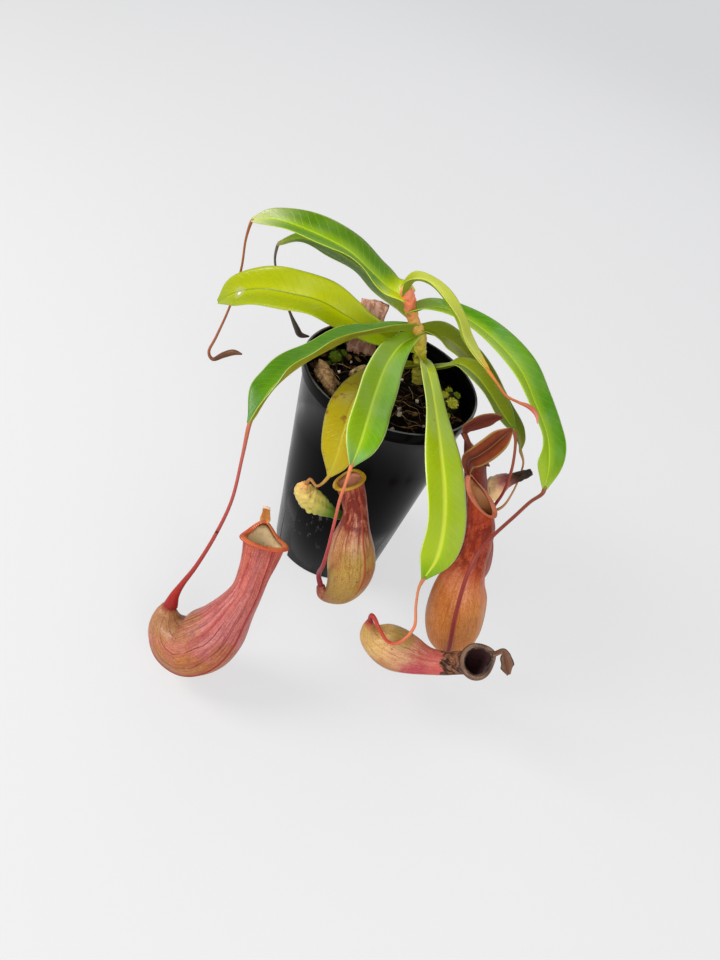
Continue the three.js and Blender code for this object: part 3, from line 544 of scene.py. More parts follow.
def leaf_upper(name, left, right, near_rib, rib, foot, tip, margin, patch=None, tip_from=0.82, hole=None,
               rib_width=0.07, painted_sheen=0.08):
    f = Finish(name, 0.34, 0.2)
    f.soft(**LEAF_GLOW)
    signed, off, along = from_rib(f)
    broad, fine = f.noise(45, 3, 0.55), f.noise(900, 2)
    # The halves get greens of their own, partly painted light and shade for how each half faces the
    # light.
    f.colour = f.mix(f.step(signed, -0.05, 0.05), left, right)
    f.coat(f.step(off, 0.5, 0.02), near_rib)
    f.coat(f.step(broad, 0.42, 0.72, 0, 0.35), near_rib)
    f.coat(f.step(along, 0.3, 0.02), foot)
    f.coat(f.step(along, tip_from, 1, 0, 0.85), tip)
    veins = side_veins(f, off, along, f.times(broad, 1.5))
    f.coat(f.times(veins, 0.16), rib)
    f.coat(f.step(fine, 0.55, 0.8, 0, 0.12), near_rib)
    # Pale patches of painted sheen stand in for the gloss highlights on the leaf.
    f.flecks("CCE0BC", 0.42, 0.7, painted_sheen, 40, 2)
    f.coat(f.step(off, rib_width, 0.3 * rib_width), rib)
    f.coat(f.step(off, 0.925, 0.965), margin)
    if patch:
        f.flecks(patch, 0.56, 0.66, 0.85, 120, 5, 0.65)
        f.flecks("3A2410", 0.7, 0.76, 0.9, 420, 2)
    if hole:
        # A bite, which shows as a pale spot in a dull ring.
        f.coat(f.times(f.near(*hole, 4, 1.2), 0.5), "A8A880")
        f.coat(f.near(*hole, 1.1, 0.6), "F0EEE2")
    height = f.plus(f.times(veins, -0.5), f.times(fine, 0.25))
    return f.done(f.step(broad, 0.3, 0.7, 0.2, 0.36), f.relief(height, 0.12, 0.7))


def leaf_under(name, pale, rib, foot, tip, patch=None):
    f = Finish(name, 0.5, 0.15)
    f.soft(**LEAF_GLOW)
    _, off, along = from_rib(f)
    f.colour = f.mix(f.step(f.noise(60, 4, 0.6), 0.35, 0.7), pale, rib)
    f.coat(f.step(along, 0.3, 0.02), foot)
    f.coat(f.step(along, 0.75, 1, 0, 0.9), tip)
    veins = side_veins(f, off, along)
    f.coat(f.times(veins, 0.22), rib)
    f.coat(f.step(off, 0.1, 0.04), rib)
    f.flecks(patch or rib, 0.72, 0.78, 0.5, 700, 1)
    height = f.plus(f.times(veins, 0.6), f.times(f.noise(1100, 2), 0.3))
    return f.done(None, f.relief(height, 0.12, 0.7))


for name, leaf in LEAVES.items():
    marks = leaf.get("marks", {})
    upper = leaf_upper(name + "_upper", *leaf["upper"], **marks)
    under = leaf_under(name + "_under", *leaf.get("under", DEFAULT_UNDER), patch=marks.get("patch"))
    add_piece(leaf_blade(leaf), name + "_blade", [upper, under], name)

# %% [markdown]
# ## The pitchers
# A pitcher is a leaf tip that has grown into a cup. Its wall swells at the foot, narrows to a neck
# and opens at a slanted mouth. The lip is a collar rolled outwards, ribbed all round. In the source
# the wall and the lip are plain turned shapes; here they get ribs, creases, a thinner edge and the
# left one's three-cornered mouth.

# %% Pitcher lines
# A line's rows are x, y, z and the radius, from the foot to the mouth. Back is the side of the lid.
# Angles are in degrees from there. Climb and peak are how far the lip rises towards the lid.
PITCHERS = {
    "pitcher_left": dict(
        back=(-0.2, 0.8, 0.6), climb=1.5, peak=5, corners=0.12, flat=0.36, brim=0.78, ribs=(118, -150),
        hollow=(68, 0.37, 0.17), soften=((-44.5, -105.5, 30), 11),
        line=[(-51.7, -104.5, 32, 2.8), (-52.3, -106, 27, 5.1), (-50.6, -108, 22.7, 8.5),
              (-46, -109.5, 19.5, 12), (-39.4, -110, 19.8, 14.5), (-33, -109, 25.3, 14.6),
              (-28.3, -106, 32.2, 11.8), (-25.6, -102, 40.8, 8.6), (-23.7, -97, 47.6, 6.8),
              (-23.6, -92, 53.5, 6.7), (-23.6, -88, 59.6, 7.4), (-24.2, -84, 65.5, 8.4)],
    ),
    "pitcher_centre": dict(
        back=(-0.3, 0.8, 0.5), climb=1, peak=1, brim=0.56, ribs=(-128,),
        line=[(4.4, -71, 40, 1.8), (6.2, -72, 37.2, 2.7), (9.2, -72, 37.6, 4.2), (12.5, -71, 41.2, 7),
              (14.3, -69, 47, 9.2), (13.8, -67, 54.2, 10.6), (11.7, -65, 61, 10.2), (9.6, -63, 67.2, 8.6),
              (8.3, -61, 73, 6.5), (6.6, -59, 78.3, 5.4), (3.6, -57.5, 84, 5.6), (-0.4, -56, 90, 6.2)],
    ),
    "pitcher_lying": dict(
        back=(0.6, 0.4, 0.7), climb=0.5, peak=4, brim=0.72, ribs=(150, -150),
        line=[(29.7, -85, 45.6, 1.3), (30.6, -85, 41.5, 3.1), (33.1, -85, 37.2, 5.8),
              (38.7, -85, 35.6, 8.8), (45.6, -84.5, 34, 9.7), (52.9, -84, 33.2, 8.4),
              (60.8, -84, 33.6, 6.1), (67.8, -84, 36.4, 5.3), (72.3, -85, 40.8, 5.1),
              (75.4, -87.5, 46.4, 5.3), (77.1, -91, 52.3, 6.2)],
    ),
    "pitcher_brown": dict(
        back=(-0.85, 0.25, -0.45), climb=7.5, peak=2.5, brim=0.62, ribs=(160, -160),
        line=[(73.5, -59.5, 14, 1.6), (72.5, -58.5, 19, 7), (71, -57, 25, 11.5), (68, -54, 35, 13.4),
              (65.5, -51, 47, 12.6), (64, -48, 55, 10), (64, -45, 64, 7.1), (63, -42.5, 74, 6.4),
              (60, -40.2, 84, 6.4), (56.3, -38, 93, 5.8)],
    ),
    "pitcher_dark": dict(
        back=(-0.85, -0.43, -0.32), climb=8.5, peak=2, brim=0.7, ribs=(150, -150),
        line=[(74, -29, 30, 1.2), (72, -28, 36, 5.5), (70, -27, 45, 8), (67, -25.5, 57, 7.8),
              (63, -24, 67.5, 6), (58, -22, 79, 5.1), (52, -21, 91.5, 5.1), (47.1, -21.2, 103.8, 5)],
    ),
}
CUP_WALL = 1.0
RING_REACH = 0.08  # a stretch of the line, so that wide rings don't cross in a bend
LIP = dict(middle=0.3, half_width=1.9, above=0.75, half_height=0.9, droop=0.7, ridges=72)
CORNERS_AT, FRONT = (98, -98), 180  # degrees from the back of a mouth
RIB_RISE = 0.05  # of the radius
LIP_AROUND, LIP_SECTION = 288, 16
CUP_AROUND, CUP_OUTSIDE, CUP_INSIDE = 96, 110, 34
CUP_STEPS = CUP_OUTSIDE + CUP_INSIDE
OUTER_SHARE = CUP_OUTSIDE / CUP_STEPS


def lip_height(pitcher, angle):
    """How far the lip climbs at an angle from the back: low in front, drawn up under the lid."""
    back = math.cos(angle)
    return pitcher["climb"] * back + pitcher["peak"] * max(0.0, back) ** 5


def bump_at(angle, degrees, half_width):
    """A soft bump round a pitcher: 1 at that angle, next to nothing past its half width."""
    off = (angle - math.radians(degrees) + math.pi) % (2 * math.pi) - math.pi
    return math.exp(-((off / half_width) ** 2))


def soften(bm, spot, reach, rounds=60):
    """Smooths a skin near a point, where its rings crowd in a tight bend."""
    near = [corner for corner in bm.verts if (corner.co - Vector(spot) * MM).length < reach * MM]
    every_way = dict(use_axis_x=True, use_axis_y=True, use_axis_z=True)
    for _ in range(rounds):
        bmesh.ops.smooth_vert(bm, verts=near, factor=0.5, **every_way)


class Cup:
    """The shape that a pitcher's wall and lip share."""

    def __init__(self, pitcher):
        self.pitcher = pitcher
        self.frames = Line(pitcher["line"]).frames(CUP_OUTSIDE, pitcher["back"], RING_REACH)

    def swell(self, t, angle):
        """What ribs and corners add to the round radius, and a flat front takes off, as shares of it."""
        corners = sum(bump_at(angle, degrees, 0.5) for degrees in CORNERS_AT)
        corners *= self.pitcher.get("corners", 0)
        flat = self.pitcher.get("flat", 0) * bump_at(angle, FRONT, 0.95)
        ribs = RIB_RISE * sum(bump_at(angle, degrees, 0.06) for degrees in self.pitcher["ribs"])
        ribs *= soft_step(0.12, 0.3, t) * soft_step(1, 0.9, t)
        degrees, middle, depth = self.pitcher.get("hollow", (0, 0, 0))
        hollow = depth * bump_at(angle, degrees, 1) * soft_step(0.22, 0, abs(t - middle))
        return (corners - flat) * soft_step(0.72, 1, t) + ribs - hollow

    def point(self, t, angle, inward=0.0, beyond=0.0):
        """A point at t along the cup and at an angle from its back, inward from the outer wall."""
        frame = self.frames[round(t * CUP_OUTSIDE)]
        radius = max(frame[1] * (1 + self.swell(t, angle)) - inward, 0)
        climb = soft_step(0.7, 1, t) * lip_height(self.pitcher, angle)
        return on_ring(frame, angle, radius) + frame[2] * (climb + beyond)

    def wall(self):
        """The outer wall up to the mouth, then the inner wall down again and across its floor."""

        def place(u, v):
            angle = u * 2 * math.pi
            step = round(v * CUP_STEPS)
            if step == 0:
                return self.frames[0][0]
            if step <= CUP_OUTSIDE:
                return self.point(step / CUP_OUTSIDE, angle)
            deep = (step - CUP_OUTSIDE) / CUP_INSIDE
            inward = CUP_WALL * (min(1, 0.35 + deep * 6) + 2 * soft_step(0.4, 0.8, deep))
            return self.point(1 - 0.85 * deep, angle, inward if deep < 1 else math.inf)

        bm = wrapped_skin(CUP_AROUND, CUP_STEPS, place, lambda u, v: int(v > OUTER_SHARE))
        if "soften" in self.pitcher:
            soften(bm, *self.pitcher["soften"])
        return bm

    def lip(self):
        """The collar: a rolled section that straddles the wall's edge, with fine ribs across it."""
        brim = self.pitcher["brim"]

        def place(u, v):
            angle, turn = u * 2 * math.pi, v * 2 * math.pi
            ridge = 0.06 * math.sin(LIP["ridges"] * angle) * max(0, math.sin(turn) + 0.3)
            out = LIP["middle"] + (LIP["half_width"] + ridge) * math.cos(turn)
            up = LIP["above"] + (LIP["half_height"] + ridge) * math.sin(turn)
            up -= LIP["droop"] * max(0, math.cos(turn)) ** 2
            return self.point(1, angle, -out * brim, up * brim)

        return wrapped_skin(LIP_AROUND, LIP_SECTION, place)


cups = {name: Cup(pitcher) for name, pitcher in PITCHERS.items()}

# %% [markdown]
# ### The pitcher's finish
# The wall is painted in layers from the foot to the mouth: a ground colour that changes along it,
# red streaks that follow its length and thicken towards the neck, thin dark veins, and a few dots.
# Streaks are noise squeezed round the pitcher and stretched along it.

# %% Pitcher finishes
def pitcher_wall(name, ground, streak, streak_from, streaks, vein, lines, line_share=0.6, bend=1.0,
                 patches=(), blotch=None, seam=None, dried=None, dots=0.5):
    f = Finish(name, 0.36, 0.25)
    f.soft(0.15, 1.5, (1, 0.4, 0.2))
    u, v = f.skin()
    t = f.sum("DIVIDE", v, OUTER_SHARE)
    broad = f.noise(70, 3, 0.6)
    f.colour = f.ramp(f.plus(t, f.step(broad, 0.3, 0.7, -0.05, 0.05)), ground)
    for patch_at, reach, shade, share in patches:
        f.coat(f.times(f.near(*patch_at, reach), share), shade)
    f.flecks(vein, 0.45, 0.75, 0.4, 1300)
    f.flecks(vein, 0.5, 0.7, 0.35, 300, 4, 0.7)
    f.flecks("E8C0A0", 0.55, 0.75, 0.3, 1700, 2)
    # Streaks and fine grain run along the pitcher. Their noise is read on a drum as wide as it is,
    # so that it has no seam.
    angle = f.times(u, 2 * math.pi)
    x, y = f.sum("COSINE", angle), f.sum("SINE", angle)
    long_drum, drum = (
        f.add("CombineXYZ", {"X": x, "Y": y, "Z": f.times(t, length)}).outputs["Vector"]
        for length in (0.45, 0.9)
    )
    streaked = f.step(f.noise(11, 4, 0.6, 0.4, long_drum), 0.44, 0.62)
    f.coat(f.times(streaked, f.step(t, *streak_from, 0.06, streaks)), streak)
    f.coat(f.step(f.noise(34, 3, 0.6, spot=drum), 0.45, 0.7, 0, 0.3), streak)
    if blotch:
        start, end, shade, share = blotch
        zone = f.times(f.step(t, start - 0.06, start + 0.04), f.step(t, end + 0.05, end - 0.03))
        spotty = f.step(f.noise(420, 4, 0.7, spot=f.stretched(1, 1, 0.4)), 0.4, 0.54)
        f.coat(f.times(f.times(zone, spotty), share), shade)
    # Thin veins: the edges of stretched cells, and a few long lines that fade in and out.
    f.coat(f.step(f.cells(8, "DISTANCE_TO_EDGE", drum), 0.05, 0, 0, 0.4), vein)
    bent = f.plus(f.times(u, lines), f.times(broad, bend))
    fading = f.step(f.noise(130, 2), 0.35, 0.6, 0.2, 1)
    line = f.times(f.step(f.sum("PINGPONG", bent, 0.5), 0.06, 0), fading)
    f.coat(f.times(line, line_share), vein)
    if seam:
        degrees, shade, start = seam
        off = f.apart(u, degrees / 360 % 1)
        f.coat(f.times(f.step(off, 0.014, 0.003), f.step(t, start, start + 0.1, 0, 0.85)), shade)
    f.coat(f.step(f.cells(170), 0.11, 0.07, 0, dots), "2A1410")
    rough = f.step(broad, 0.3, 0.7, 0.3, 0.45)
    height, depth = f.plus(f.times(line, -0.3), f.times(f.noise(800), 0.5)), 0.15
    if dried:
        start, dead, char = dried
        edge = f.plus(t, f.step(f.noise(260, 4), 0.3, 0.7, -0.03, 0.03))
        gone = f.step(edge, start, start + 0.02)
        wrinkle = f.noise(380, 5, 0.7, 0.8, f.stretched(0.4, 1, 1))
        f.coat(gone, f.mix(f.step(wrinkle, 0.4, 0.6), char, dead))
        rough = f.sum("MAXIMUM", rough, f.times(gone, 0.75))
        height, depth = f.plus(height, f.times(f.times(gone, wrinkle), 3)), 0.3
    return f.done(rough, f.relief(height, depth, 0.7))


def pitcher_inside(name, pale, spots):
    f = Finish(name, 0.55, 0.5)
    f.colour = f.mix(f.step(f.noise(380, 4, 0.6), 0.5, 0.68), pale, spots)
    return f.done(None, f.relief(f.noise(1500, 2), 0.08, 0.4))


def lip_finish(name, top, edge, groove, rims=None):
    f = Finish(name, 0.3, 0.35)
    u, v = f.skin()
    f.colour = f.mix(f.step(f.noise(160), 0.4, 0.65), top, edge)
    f.coat(f.step(f.sum("PINGPONG", f.plus(v, 0.1), 0.5), 0.35, 0.1), edge)
    ridge = f.sum("SINE", f.times(u, 2 * math.pi * LIP["ridges"]))
    f.coat(f.step(ridge, -0.2, -0.9, 0, 0.5), groove)
    if rims:
        # Both edges of this lip are painted near black, the inner one in a wider band.
        turn = f.sum("PINGPONG", v, 0.5)
        edges = f.sum("MAXIMUM", f.step(turn, 0.1, 0.04), f.step(turn, 0.26, 0.33))
        f.coat(f.times(edges, f.step(f.noise(500), 0.3, 0.6, 0.5, 1)), rims)
    return f.done(None, f.relief(ridge, 0.08, 0.6))


# Places in the tables are in millimetres. Shares along a pitcher run from 0 at its foot to 1 at its
# mouth. Blotch: from, to, colour, strength. Seam: degrees, colour, from. Dried: from, two colours.
PITCHER_LOOKS = {
    "pitcher_left": dict(
        wall=dict(
            ground={0: "A03430", 0.06: "B07850", 0.3: "BE7060", 0.55: "C06E66", 0.8: "C46A5C",
                    1: "B85C40"},
            patches=[((-40, -112, 29), 13, "A47848", 0.85), ((-51, -112, 27), 9, "A47A48", 0.8),
                     ((-30, -118, 15), 16, "B0702A", 0.9), ((-44, -120, 11), 17, "A87030", 0.9),
                     ((-33, -122, 20), 12, "B07028", 0.9), ((-23, -117, 29), 8, "B07028", 0.7)],
            streak="8E2E38", streak_from=(0.1, 0.5), vein="641A28", streaks=0.6, dots=0.3, lines=13,
            line_share=1, bend=0.6, seam=(-150, "8E1A22", 0.2),
        ),
        inside=("CCB080", "AA8C58"), lip=("D07848", "C0502E", "9A4420"),
    ),
    "pitcher_centre": dict(
        wall=dict(
            ground={0: "8A2C2C", 0.1: "A06A50", 0.22: "A0823A", 0.5: "AE8E40", 0.62: "BC9060",
                    0.72: "BA7A5A", 1: "A8543A"},
            patches=[((25, -72, 56), 9, "A0603A", 0.7), ((5, -74, 60), 6, "A8683A", 0.5)],
            streak="741810", streak_from=(0.5, 0.68), vein="7C3418", streaks=0.8, lines=14,
            blotch=(0.7, 0.97, "640A04", 0.88), seam=(-128, "9C3E30", 0.3),
        ),
        inside=("CC8462", "A0604A"), lip=("C89C22", "B08416", "8A6410"),
    ),
    "pitcher_lying": dict(
        wall=dict(
            ground={0: "A03428", 0.08: "B4984C", 0.28: "CEAE6C", 0.46: "CA9A72", 0.6: "C4705C",
                    1: "6A4434"},
            patches=[((58, -94, 28), 13, "B03048", 0.9), ((42, -94, 27), 10, "A4703C", 0.8),
                     ((66, -92, 33), 8, "C05A50", 0.8), ((46, -84, 45), 8, "8A8A24", 0.7)],
            streak="B0404A", streak_from=(0.2, 0.6), vein="8A3A30", streaks=0.65, lines=12,
            dried=(0.68, "8E5C40", "2A1810"),
        ),
        inside=("3E2022", "1C0E10"), lip=("8A6850", "5A3C2C", "2E1A12"), rims="140A08",
    ),
    "pitcher_brown": dict(
        wall=dict(
            ground={0: "9A3A14", 0.1: "B8702C", 0.35: "C8823A", 0.52: "CC8050", 0.66: "B45028",
                    0.8: "A4380E", 1: "A43A12"},
            patches=[((56, -58, 48), 9, "B46A18", 0.6)],
            streak="8E2208", streak_from=(0.5, 0.75), vein="9A4018", streaks=0.5, dots=0.1, lines=14,
            blotch=(0.64, 0.96, "701202", 0.8),
        ),
        inside=("A46A3A", "8A5028"), lip=("C47252", "B8603C", "903C22"),
    ),
    "pitcher_dark": dict(
        wall=dict(
            ground={0: "7E2814", 0.3: "98421E", 0.6: "92361C", 0.8: "76260E", 1: "6C220A"},
            streak="541408", streak_from=(0.3, 0.8), vein="5A1808", streaks=0.6, dots=0.1, lines=12,
        ),
        inside=("6E3822", "4A1C12"), lip=("843C1E", "602412", "401408"),
    ),
}

for name, looks in PITCHER_LOOKS.items():
    wall = pitcher_wall(name + "_wall", **looks["wall"])
    inside = pitcher_inside(name + "_inside", *looks["inside"])
    add_piece(cups[name].wall(), name + "_cup", [wall, inside], name)
    collar = lip_finish(name + "_collar", *looks["lip"], rims=looks.get("rims"))
    add_piece(cups[name].lip(), name + "_rolled_lip", [collar], name + "_lip")

# %% [markdown]
# ## Closed pitchers and tendrils
# A tendril is a round bar that thins and thickens along its line. The ones with a pitcher run on
# into its foot, so both look grown together. Closed pitchers are fatter bars of the same kind.

# %% Round bars
# Rows are x, y, z and radius. Each tendril starts in the tip of the leaf that shares its name.
TENDRILS = {
    "tendril_back_left": dict(
        colours={0: "A8803A", 0.1: "9A5A34", 0.6: "9A5E40", 0.75: "5A3A26", 1: "6E4A2C"},
        via=[(-91, 46, 124, 0.6), (-90, 46, 108, 0.6), (-91, 44, 87, 0.6), (-94, 42, 68, 0.7),
             (-96, 41, 58, 0.8), (-93, 41, 54, 1), (-88, 41, 59, 1.6), (-83, 41, 63, 1.6),
             (-78, 41, 64, 0.4)],
    ),
    "tendril_far_left": dict(
        colours={0: "B07A3A", 0.12: "6A6258", 0.7: "4A4038", 1: "3A2A22"},
        via=[(-76, 55, 114, 0.6), (-70, 55, 102, 0.6), (-62, 54, 91, 0.7), (-56, 53, 84, 1.5),
             (-53, 53, 81, 1.6), (-48, 53, 82, 0.4)],
    ),
    "tendril_folded_left": dict(
        pitcher="pitcher_left", start=0.9, end=3.2, dot=0.49,
        colours={0: "9A8A30", 0.08: "B06848", 0.3: "A8504A", 0.6: "9A3A34", 0.85: "9A2620", 1: "8A2220"},
        via=[(-44, -75, 97, 0.7), (-42, -84, 82, 0.7), (-43.5, -91, 67, 0.8), (-46.5, -98, 53.5, 0.9),
             (-49.8, -101.5, 43.2, 1.25), (-51.4, -103.4, 36.8, 2)],
    ),
    "tendril_front": dict(
        pitcher="pitcher_centre", end=1.3,
        colours={0: "C8843E", 0.1: "D88450", 0.35: "CC6E50", 0.55: "AE4440", 0.8: "8E3034", 1: "7A2830"},
        via=[(-1.5, -76, 106, 0.6), (-1.3, -77, 97, 0.65), (0, -77, 84, 0.65), (1.4, -76.5, 70, 0.75),
             (2.2, -75, 57, 0.9), (1.9, -70.6, 45.6, 1.1)],
    ),
    "tendril_yellow": dict(
        pitcher="pitcher_shrivelled", end=0.9,
        colours={0: "B89A34", 0.5: "AE7A3C", 1: "A8703E"},
        via=[(-10.8, -62.8, 89, 0.6), (-12.8, -61.8, 86, 0.6), (-16.2, -58.4, 85.2, 0.7)],
    ),
    "tendril_long_front": dict(
        pitcher="pitcher_lying", start=0.9, end=1.2,
        colours={0: "7E8034", 0.1: "B8784E", 0.35: "D0805A", 0.6: "C04A34", 0.85: "A02E2A", 1: "842A26"},
        via=[(43, -80, 69, 0.6), (45, -82, 61, 0.6), (48, -85, 52, 0.7), (45, -90, 46, 0.7),
             (40, -92, 45, 0.7), (34.5, -91, 49, 0.8), (31, -88.5, 51.4, 0.9), (29.2, -86, 50, 1)],
    ),
    "tendril_young": dict(
        colours={0: "D08A34", 0.35: "B86A3C", 0.7: "B05A44", 1: "D89078"},
        via=[(41, -27, 144, 0.6), (46.7, -29, 141, 0.55), (52.3, -31, 141.3, 0.6),
             (55.8, -33, 142.5, 0.9), (58.9, -34.5, 142.3, 1), (61, -35.5, 140.8, 0.7),
             (62.4, -36, 138.2, 0.25)],
    ),
    "tendril_right": dict(
        pitcher="pitcher_brown", start=1, end=1.5,
        colours={0: "80903A", 0.08: "8A4E34", 0.3: "8A4034", 0.7: "8A2A26", 1: "822A1C"},
        via=[(82.5, -22, 95.5, 0.9), (78, -29, 94.5, 0.8), (73, -38, 91, 0.8), (66, -51, 87, 0.8),
             (62, -60, 83, 0.9), (61, -67, 74, 0.9), (64, -71, 55, 1), (68, -72, 38, 1.1),
             (71, -70.5, 24, 1.2), (72.5, -68, 15, 1.3), (73.8, -64, 10.5, 1.4), (74, -60.5, 10, 1.5)],
    ),
    "tendril_back_right": dict(
        pitcher="pitcher_small", end=0.9,
        colours={0: "8A8A3A", 0.2: "B8864E", 1: "BC8A5A"},
        via=[(75, 9, 87, 0.5), (76, 6, 81, 0.5), (76, 2, 75, 0.5), (75, -1, 67, 0.6), (73, 0, 61, 0.8),
             (71.3, 1.2, 60.8, 0.9)],
    ),
    "tendril_low_right": dict(
        pitcher="pitcher_dark", start=0.9, end=1.2,
        colours={0: "8A903A", 0.1: "A05C3C", 0.4: "8E3634", 1: "7E2A22"},
        via=[(65, -3, 103, 0.7), (68, -8, 93, 0.7), (69, -12, 82, 0.7), (68, -13, 70, 0.8),
             (68, -14, 57, 0.8), (70, -16, 45, 0.8), (72.5, -19.5, 34, 0.9), (75.2, -25, 26, 1),
             (74.8, -29.2, 27, 1.1)],
    ),
}
CLOSED_PITCHERS = {
    "pitcher_small": dict(
        speckle=0.2,
        colours={0: "E0B070", 0.2: "F4D490", 0.42: "F0C494", 0.54: "C47C70", 0.68: "7A4640",
                 0.76: "3A261A", 1: "241A10"},
        line=[(69.4, 2, 62.2, 1), (66.8, 3, 65, 4.4), (67.5, 3, 70.9, 5.4), (69.6, 3, 76, 4.2),
              (72.5, 2, 80.5, 2.9), (76, 2, 84.6, 2.4), (79.2, 2, 88.8, 1.6)],
    ),
    "pitcher_shrivelled": dict(
        speckle=0.5,
        colours={0: "D89C5C", 0.12: "D8BC6C", 0.35: "C8BC5C", 0.5: "98A24C", 0.64: "5A7E26", 1: "2E4A18"},
        line=[(-17.4, -57, 81.2, 1.5), (-17.8, -57, 76.8, 3.8), (-14.3, -56, 73, 5.2),
              (-10.2, -55, 70.6, 5), (-6.1, -54, 68.7, 3.7), (-2.2, -53, 67.3, 2.5), (1.4, -52, 66.3, 2),
              (2.9, -51.5, 65.7, 1.2)],
    ),
}


def round_bar(rows, around, per_point, creases=0.0):
    """A closed round bar along a line, its ends drawn in, with lengthwise creases if asked."""
    line = Line(rows)
    steps = (len(rows) - 1) * per_point
    frames = line.frames(steps, line.way(1).orthogonal())

    def place(u, v):
        step = round(v * steps)
        centre, radius = frames[step][:2]
        angle = u * 2 * math.pi
        if step in (0, steps):
            return centre
        uneven = rumple(on_ring(frames[step], angle, radius), 1.7, 2 * creases)
        return on_ring(frames[step], angle, radius * (1 + creases * math.cos(6 * angle + 5 * v) + uneven))

    return wrapped_skin(around, steps, place)


def bar_finish(name, colours, rough=0.4, speckle="3A1A14", amount=0.25, dot=None):
    f = Finish(name, rough, 0.2)
    f.soft(0.1, 1)
    along = f.skin()[1]
    f.colour = f.ramp(along, colours)
    f.flecks(speckle, 0.5, 0.75, amount, 500, 4, 0.6)
    if dot:
        f.coat(f.step(f.apart(along, dot), 0.006, 0.003, 0, 0.8), "2A0E0C")
    return f.done(None, f.relief(f.noise(900), 0.1, 0.5))


def places(rows):
    return [Vector(row[:3]) for row in rows]


IN_LEAF = 1.6  # how far inside its leaf's tip a tendril starts
closed_or_open = {**PITCHERS, **CLOSED_PITCHERS}
for name, tendril in TENDRILS.items():
    inside_leaf, leaf_tip = places(LEAVES[name.replace("tendril", "leaf")]["spine"][-2:])
    via, start = tendril["via"], tendril.get("start", 0.8)
    first = leaf_tip + (inside_leaf - leaf_tip).normalized() * IN_LEAF
    rows = [(*first, start * 0.8), (*leaf_tip.lerp(*places(via[:1]), 0.12), start), *via]
    if "pitcher" in tendril:
        foot, after = places(closed_or_open[tendril["pitcher"]]["line"][:2])
        rows.append((*foot.lerp(after, 0.25), tendril["end"]))
    finish = bar_finish(name + "_skin", tendril["colours"], dot=tendril.get("dot"))
    add_piece(round_bar(rows, 16, 10), name + "_bar", [finish], name)

for name, pitcher in CLOSED_PITCHERS.items():
    finish = bar_finish(name + "_skin", pitcher["colours"], 0.42, "5A3A1E", pitcher["speckle"])
    add_piece(round_bar(pitcher["line"], 40, 12, 0.07), name + "_body", [finish], name)

# %% [markdown]
# ## Lids
# A lid is a small oval leaf on a hinge at the back of the mouth. The two open ones have rolled,
# lighter margins and a dark red middle. The dried one is crumpled, and of the left one only a cut
# stub is left.

# %% Lids
# The colours are middle, margin, ground and, where it is cut, the tip.
LIDS = {
    "pitcher_brown_lid": dict(
        fold=12, colours=("501604", "94703A", "702E10"),
        spine=[(44, -38, 109.5, 3.6), (46.3, -40, 115.7, 4.7), (49, -41, 122.4, 4.9),
               (51.3, -41, 128.8, 4.2), (53.4, -40, 134, 1)],
        facing=[(-0.4, -0.9, 0.1), (-0.4, -0.9, 0), (-0.4, -0.9, 0), (-0.4, -0.9, 0), (-0.4, -0.9, 0.1),
                (-0.3, -0.9, 0.2)],
    ),
    "pitcher_dark_lid": dict(
        fold=14, colours=("5E1E14", "7E542C", "6E3020"),
        spine=[(39, -24, 116.2, 2.6), (42.3, -25.5, 122.3, 3.9), (46, -26, 126.7, 3.4),
               (50, -26, 129, 0.9)],
        facing=[(0.1, -1, -0.2)] * 5,
    ),
    "pitcher_left_lid_stub": dict(
        fold=10, colours=("B4743C", "C08A4C", "B8763E", "E8C4A8"), hinge=2.7,
        spine=[(-28.4, -72.6, 71.2, 1.8), (-28.9, -72.6, 74.2, 1.7)],
        facing=[(0, -0.9, 0.4)] * 3,
    ),
    "pitcher_lying_lid": dict(
        fold=30, wave=1.6, hinge=1.8, colours=("6A4632", "2E1C14", "7A543C"),
        spine=[(84.8, -88.4, 61.6, 1.6), (87, -87.4, 58.2, 2.9), (89.8, -87, 53.2, 3.5),
               (92.8, -88, 49, 1)],
        facing=[(0.3, -0.7, 0.6), (0.4, -0.8, 0.4), (0.6, -0.8, 0.2), (0.3, -0.8, 0.4), (0.6, -0.8, 0.1)],
    ),
}
LID_HINGE = dict(half_width=1.2, above=0.9)


def lid_finish(name, middle, margin, ground, tip=None):
    f = Finish(name, 0.4, 0.25)
    _, off, along = from_rib(f)
    f.colour = f.mix(f.step(off, 0.1, 0.5), middle, ground)
    f.flecks(middle, 0.45, 0.7, 0.5, 300, 4)
    f.coat(f.step(off, 0.035, 0.015, 0, 0.6), margin)
    f.coat(f.step(off, 0.76, 0.92), margin)
    if tip:
        f.coat(f.step(along, 0.86, 0.94), tip)
    return f.done(None, f.relief(f.noise(900), 0.12, 0.6))


for name, lid in LIDS.items():
    hinge = cups[name.split("_lid")[0]].point(1, 0, 0, LID_HINGE["above"])
    first = (*hinge, lid.get("hinge", LID_HINGE["half_width"]))
    blade = leaf_blade({"wave": 0.25, "clasp": 0, **lid, "spine": [first, *lid["spine"]]})
    finish = lid_finish(name + "_skin", *lid["colours"])
    add_piece(blade, name + "_blade", [finish, finish], name)

# %% [markdown]
# ## The stem
# One short leaning stem carries every leaf. It is olive below, orange at its joints and salmon pink
# at the growing tip, and each leaf foot leaves a swelling and a ring on it.

# %% Stem
STEM_LINE = [
    (16, 20, 88, 2.6), (13, 20, 100, 2.8), (11, 20, 107, 2.8), (9, 20, 114, 2.8), (6, 20, 124, 2.8),
    (1, 19, 130, 2.7), (-3, 18, 137, 2.8), (-7, 17, 144, 3), (-9, 16, 149, 1.8),
]
STEM_COLOURS = {0: "5A4A26", 0.22: "9A9634", 0.4: "C8C040", 0.56: "E0B858", 0.68: "F0AA60",
                0.8: "FF8A68", 0.93: "FF9A78", 1: "E8C850"}
STEM_AROUND, STEM_ALONG = 40, 120
JOINT_REACH, JOINT_RISE = 1.4, 0.25


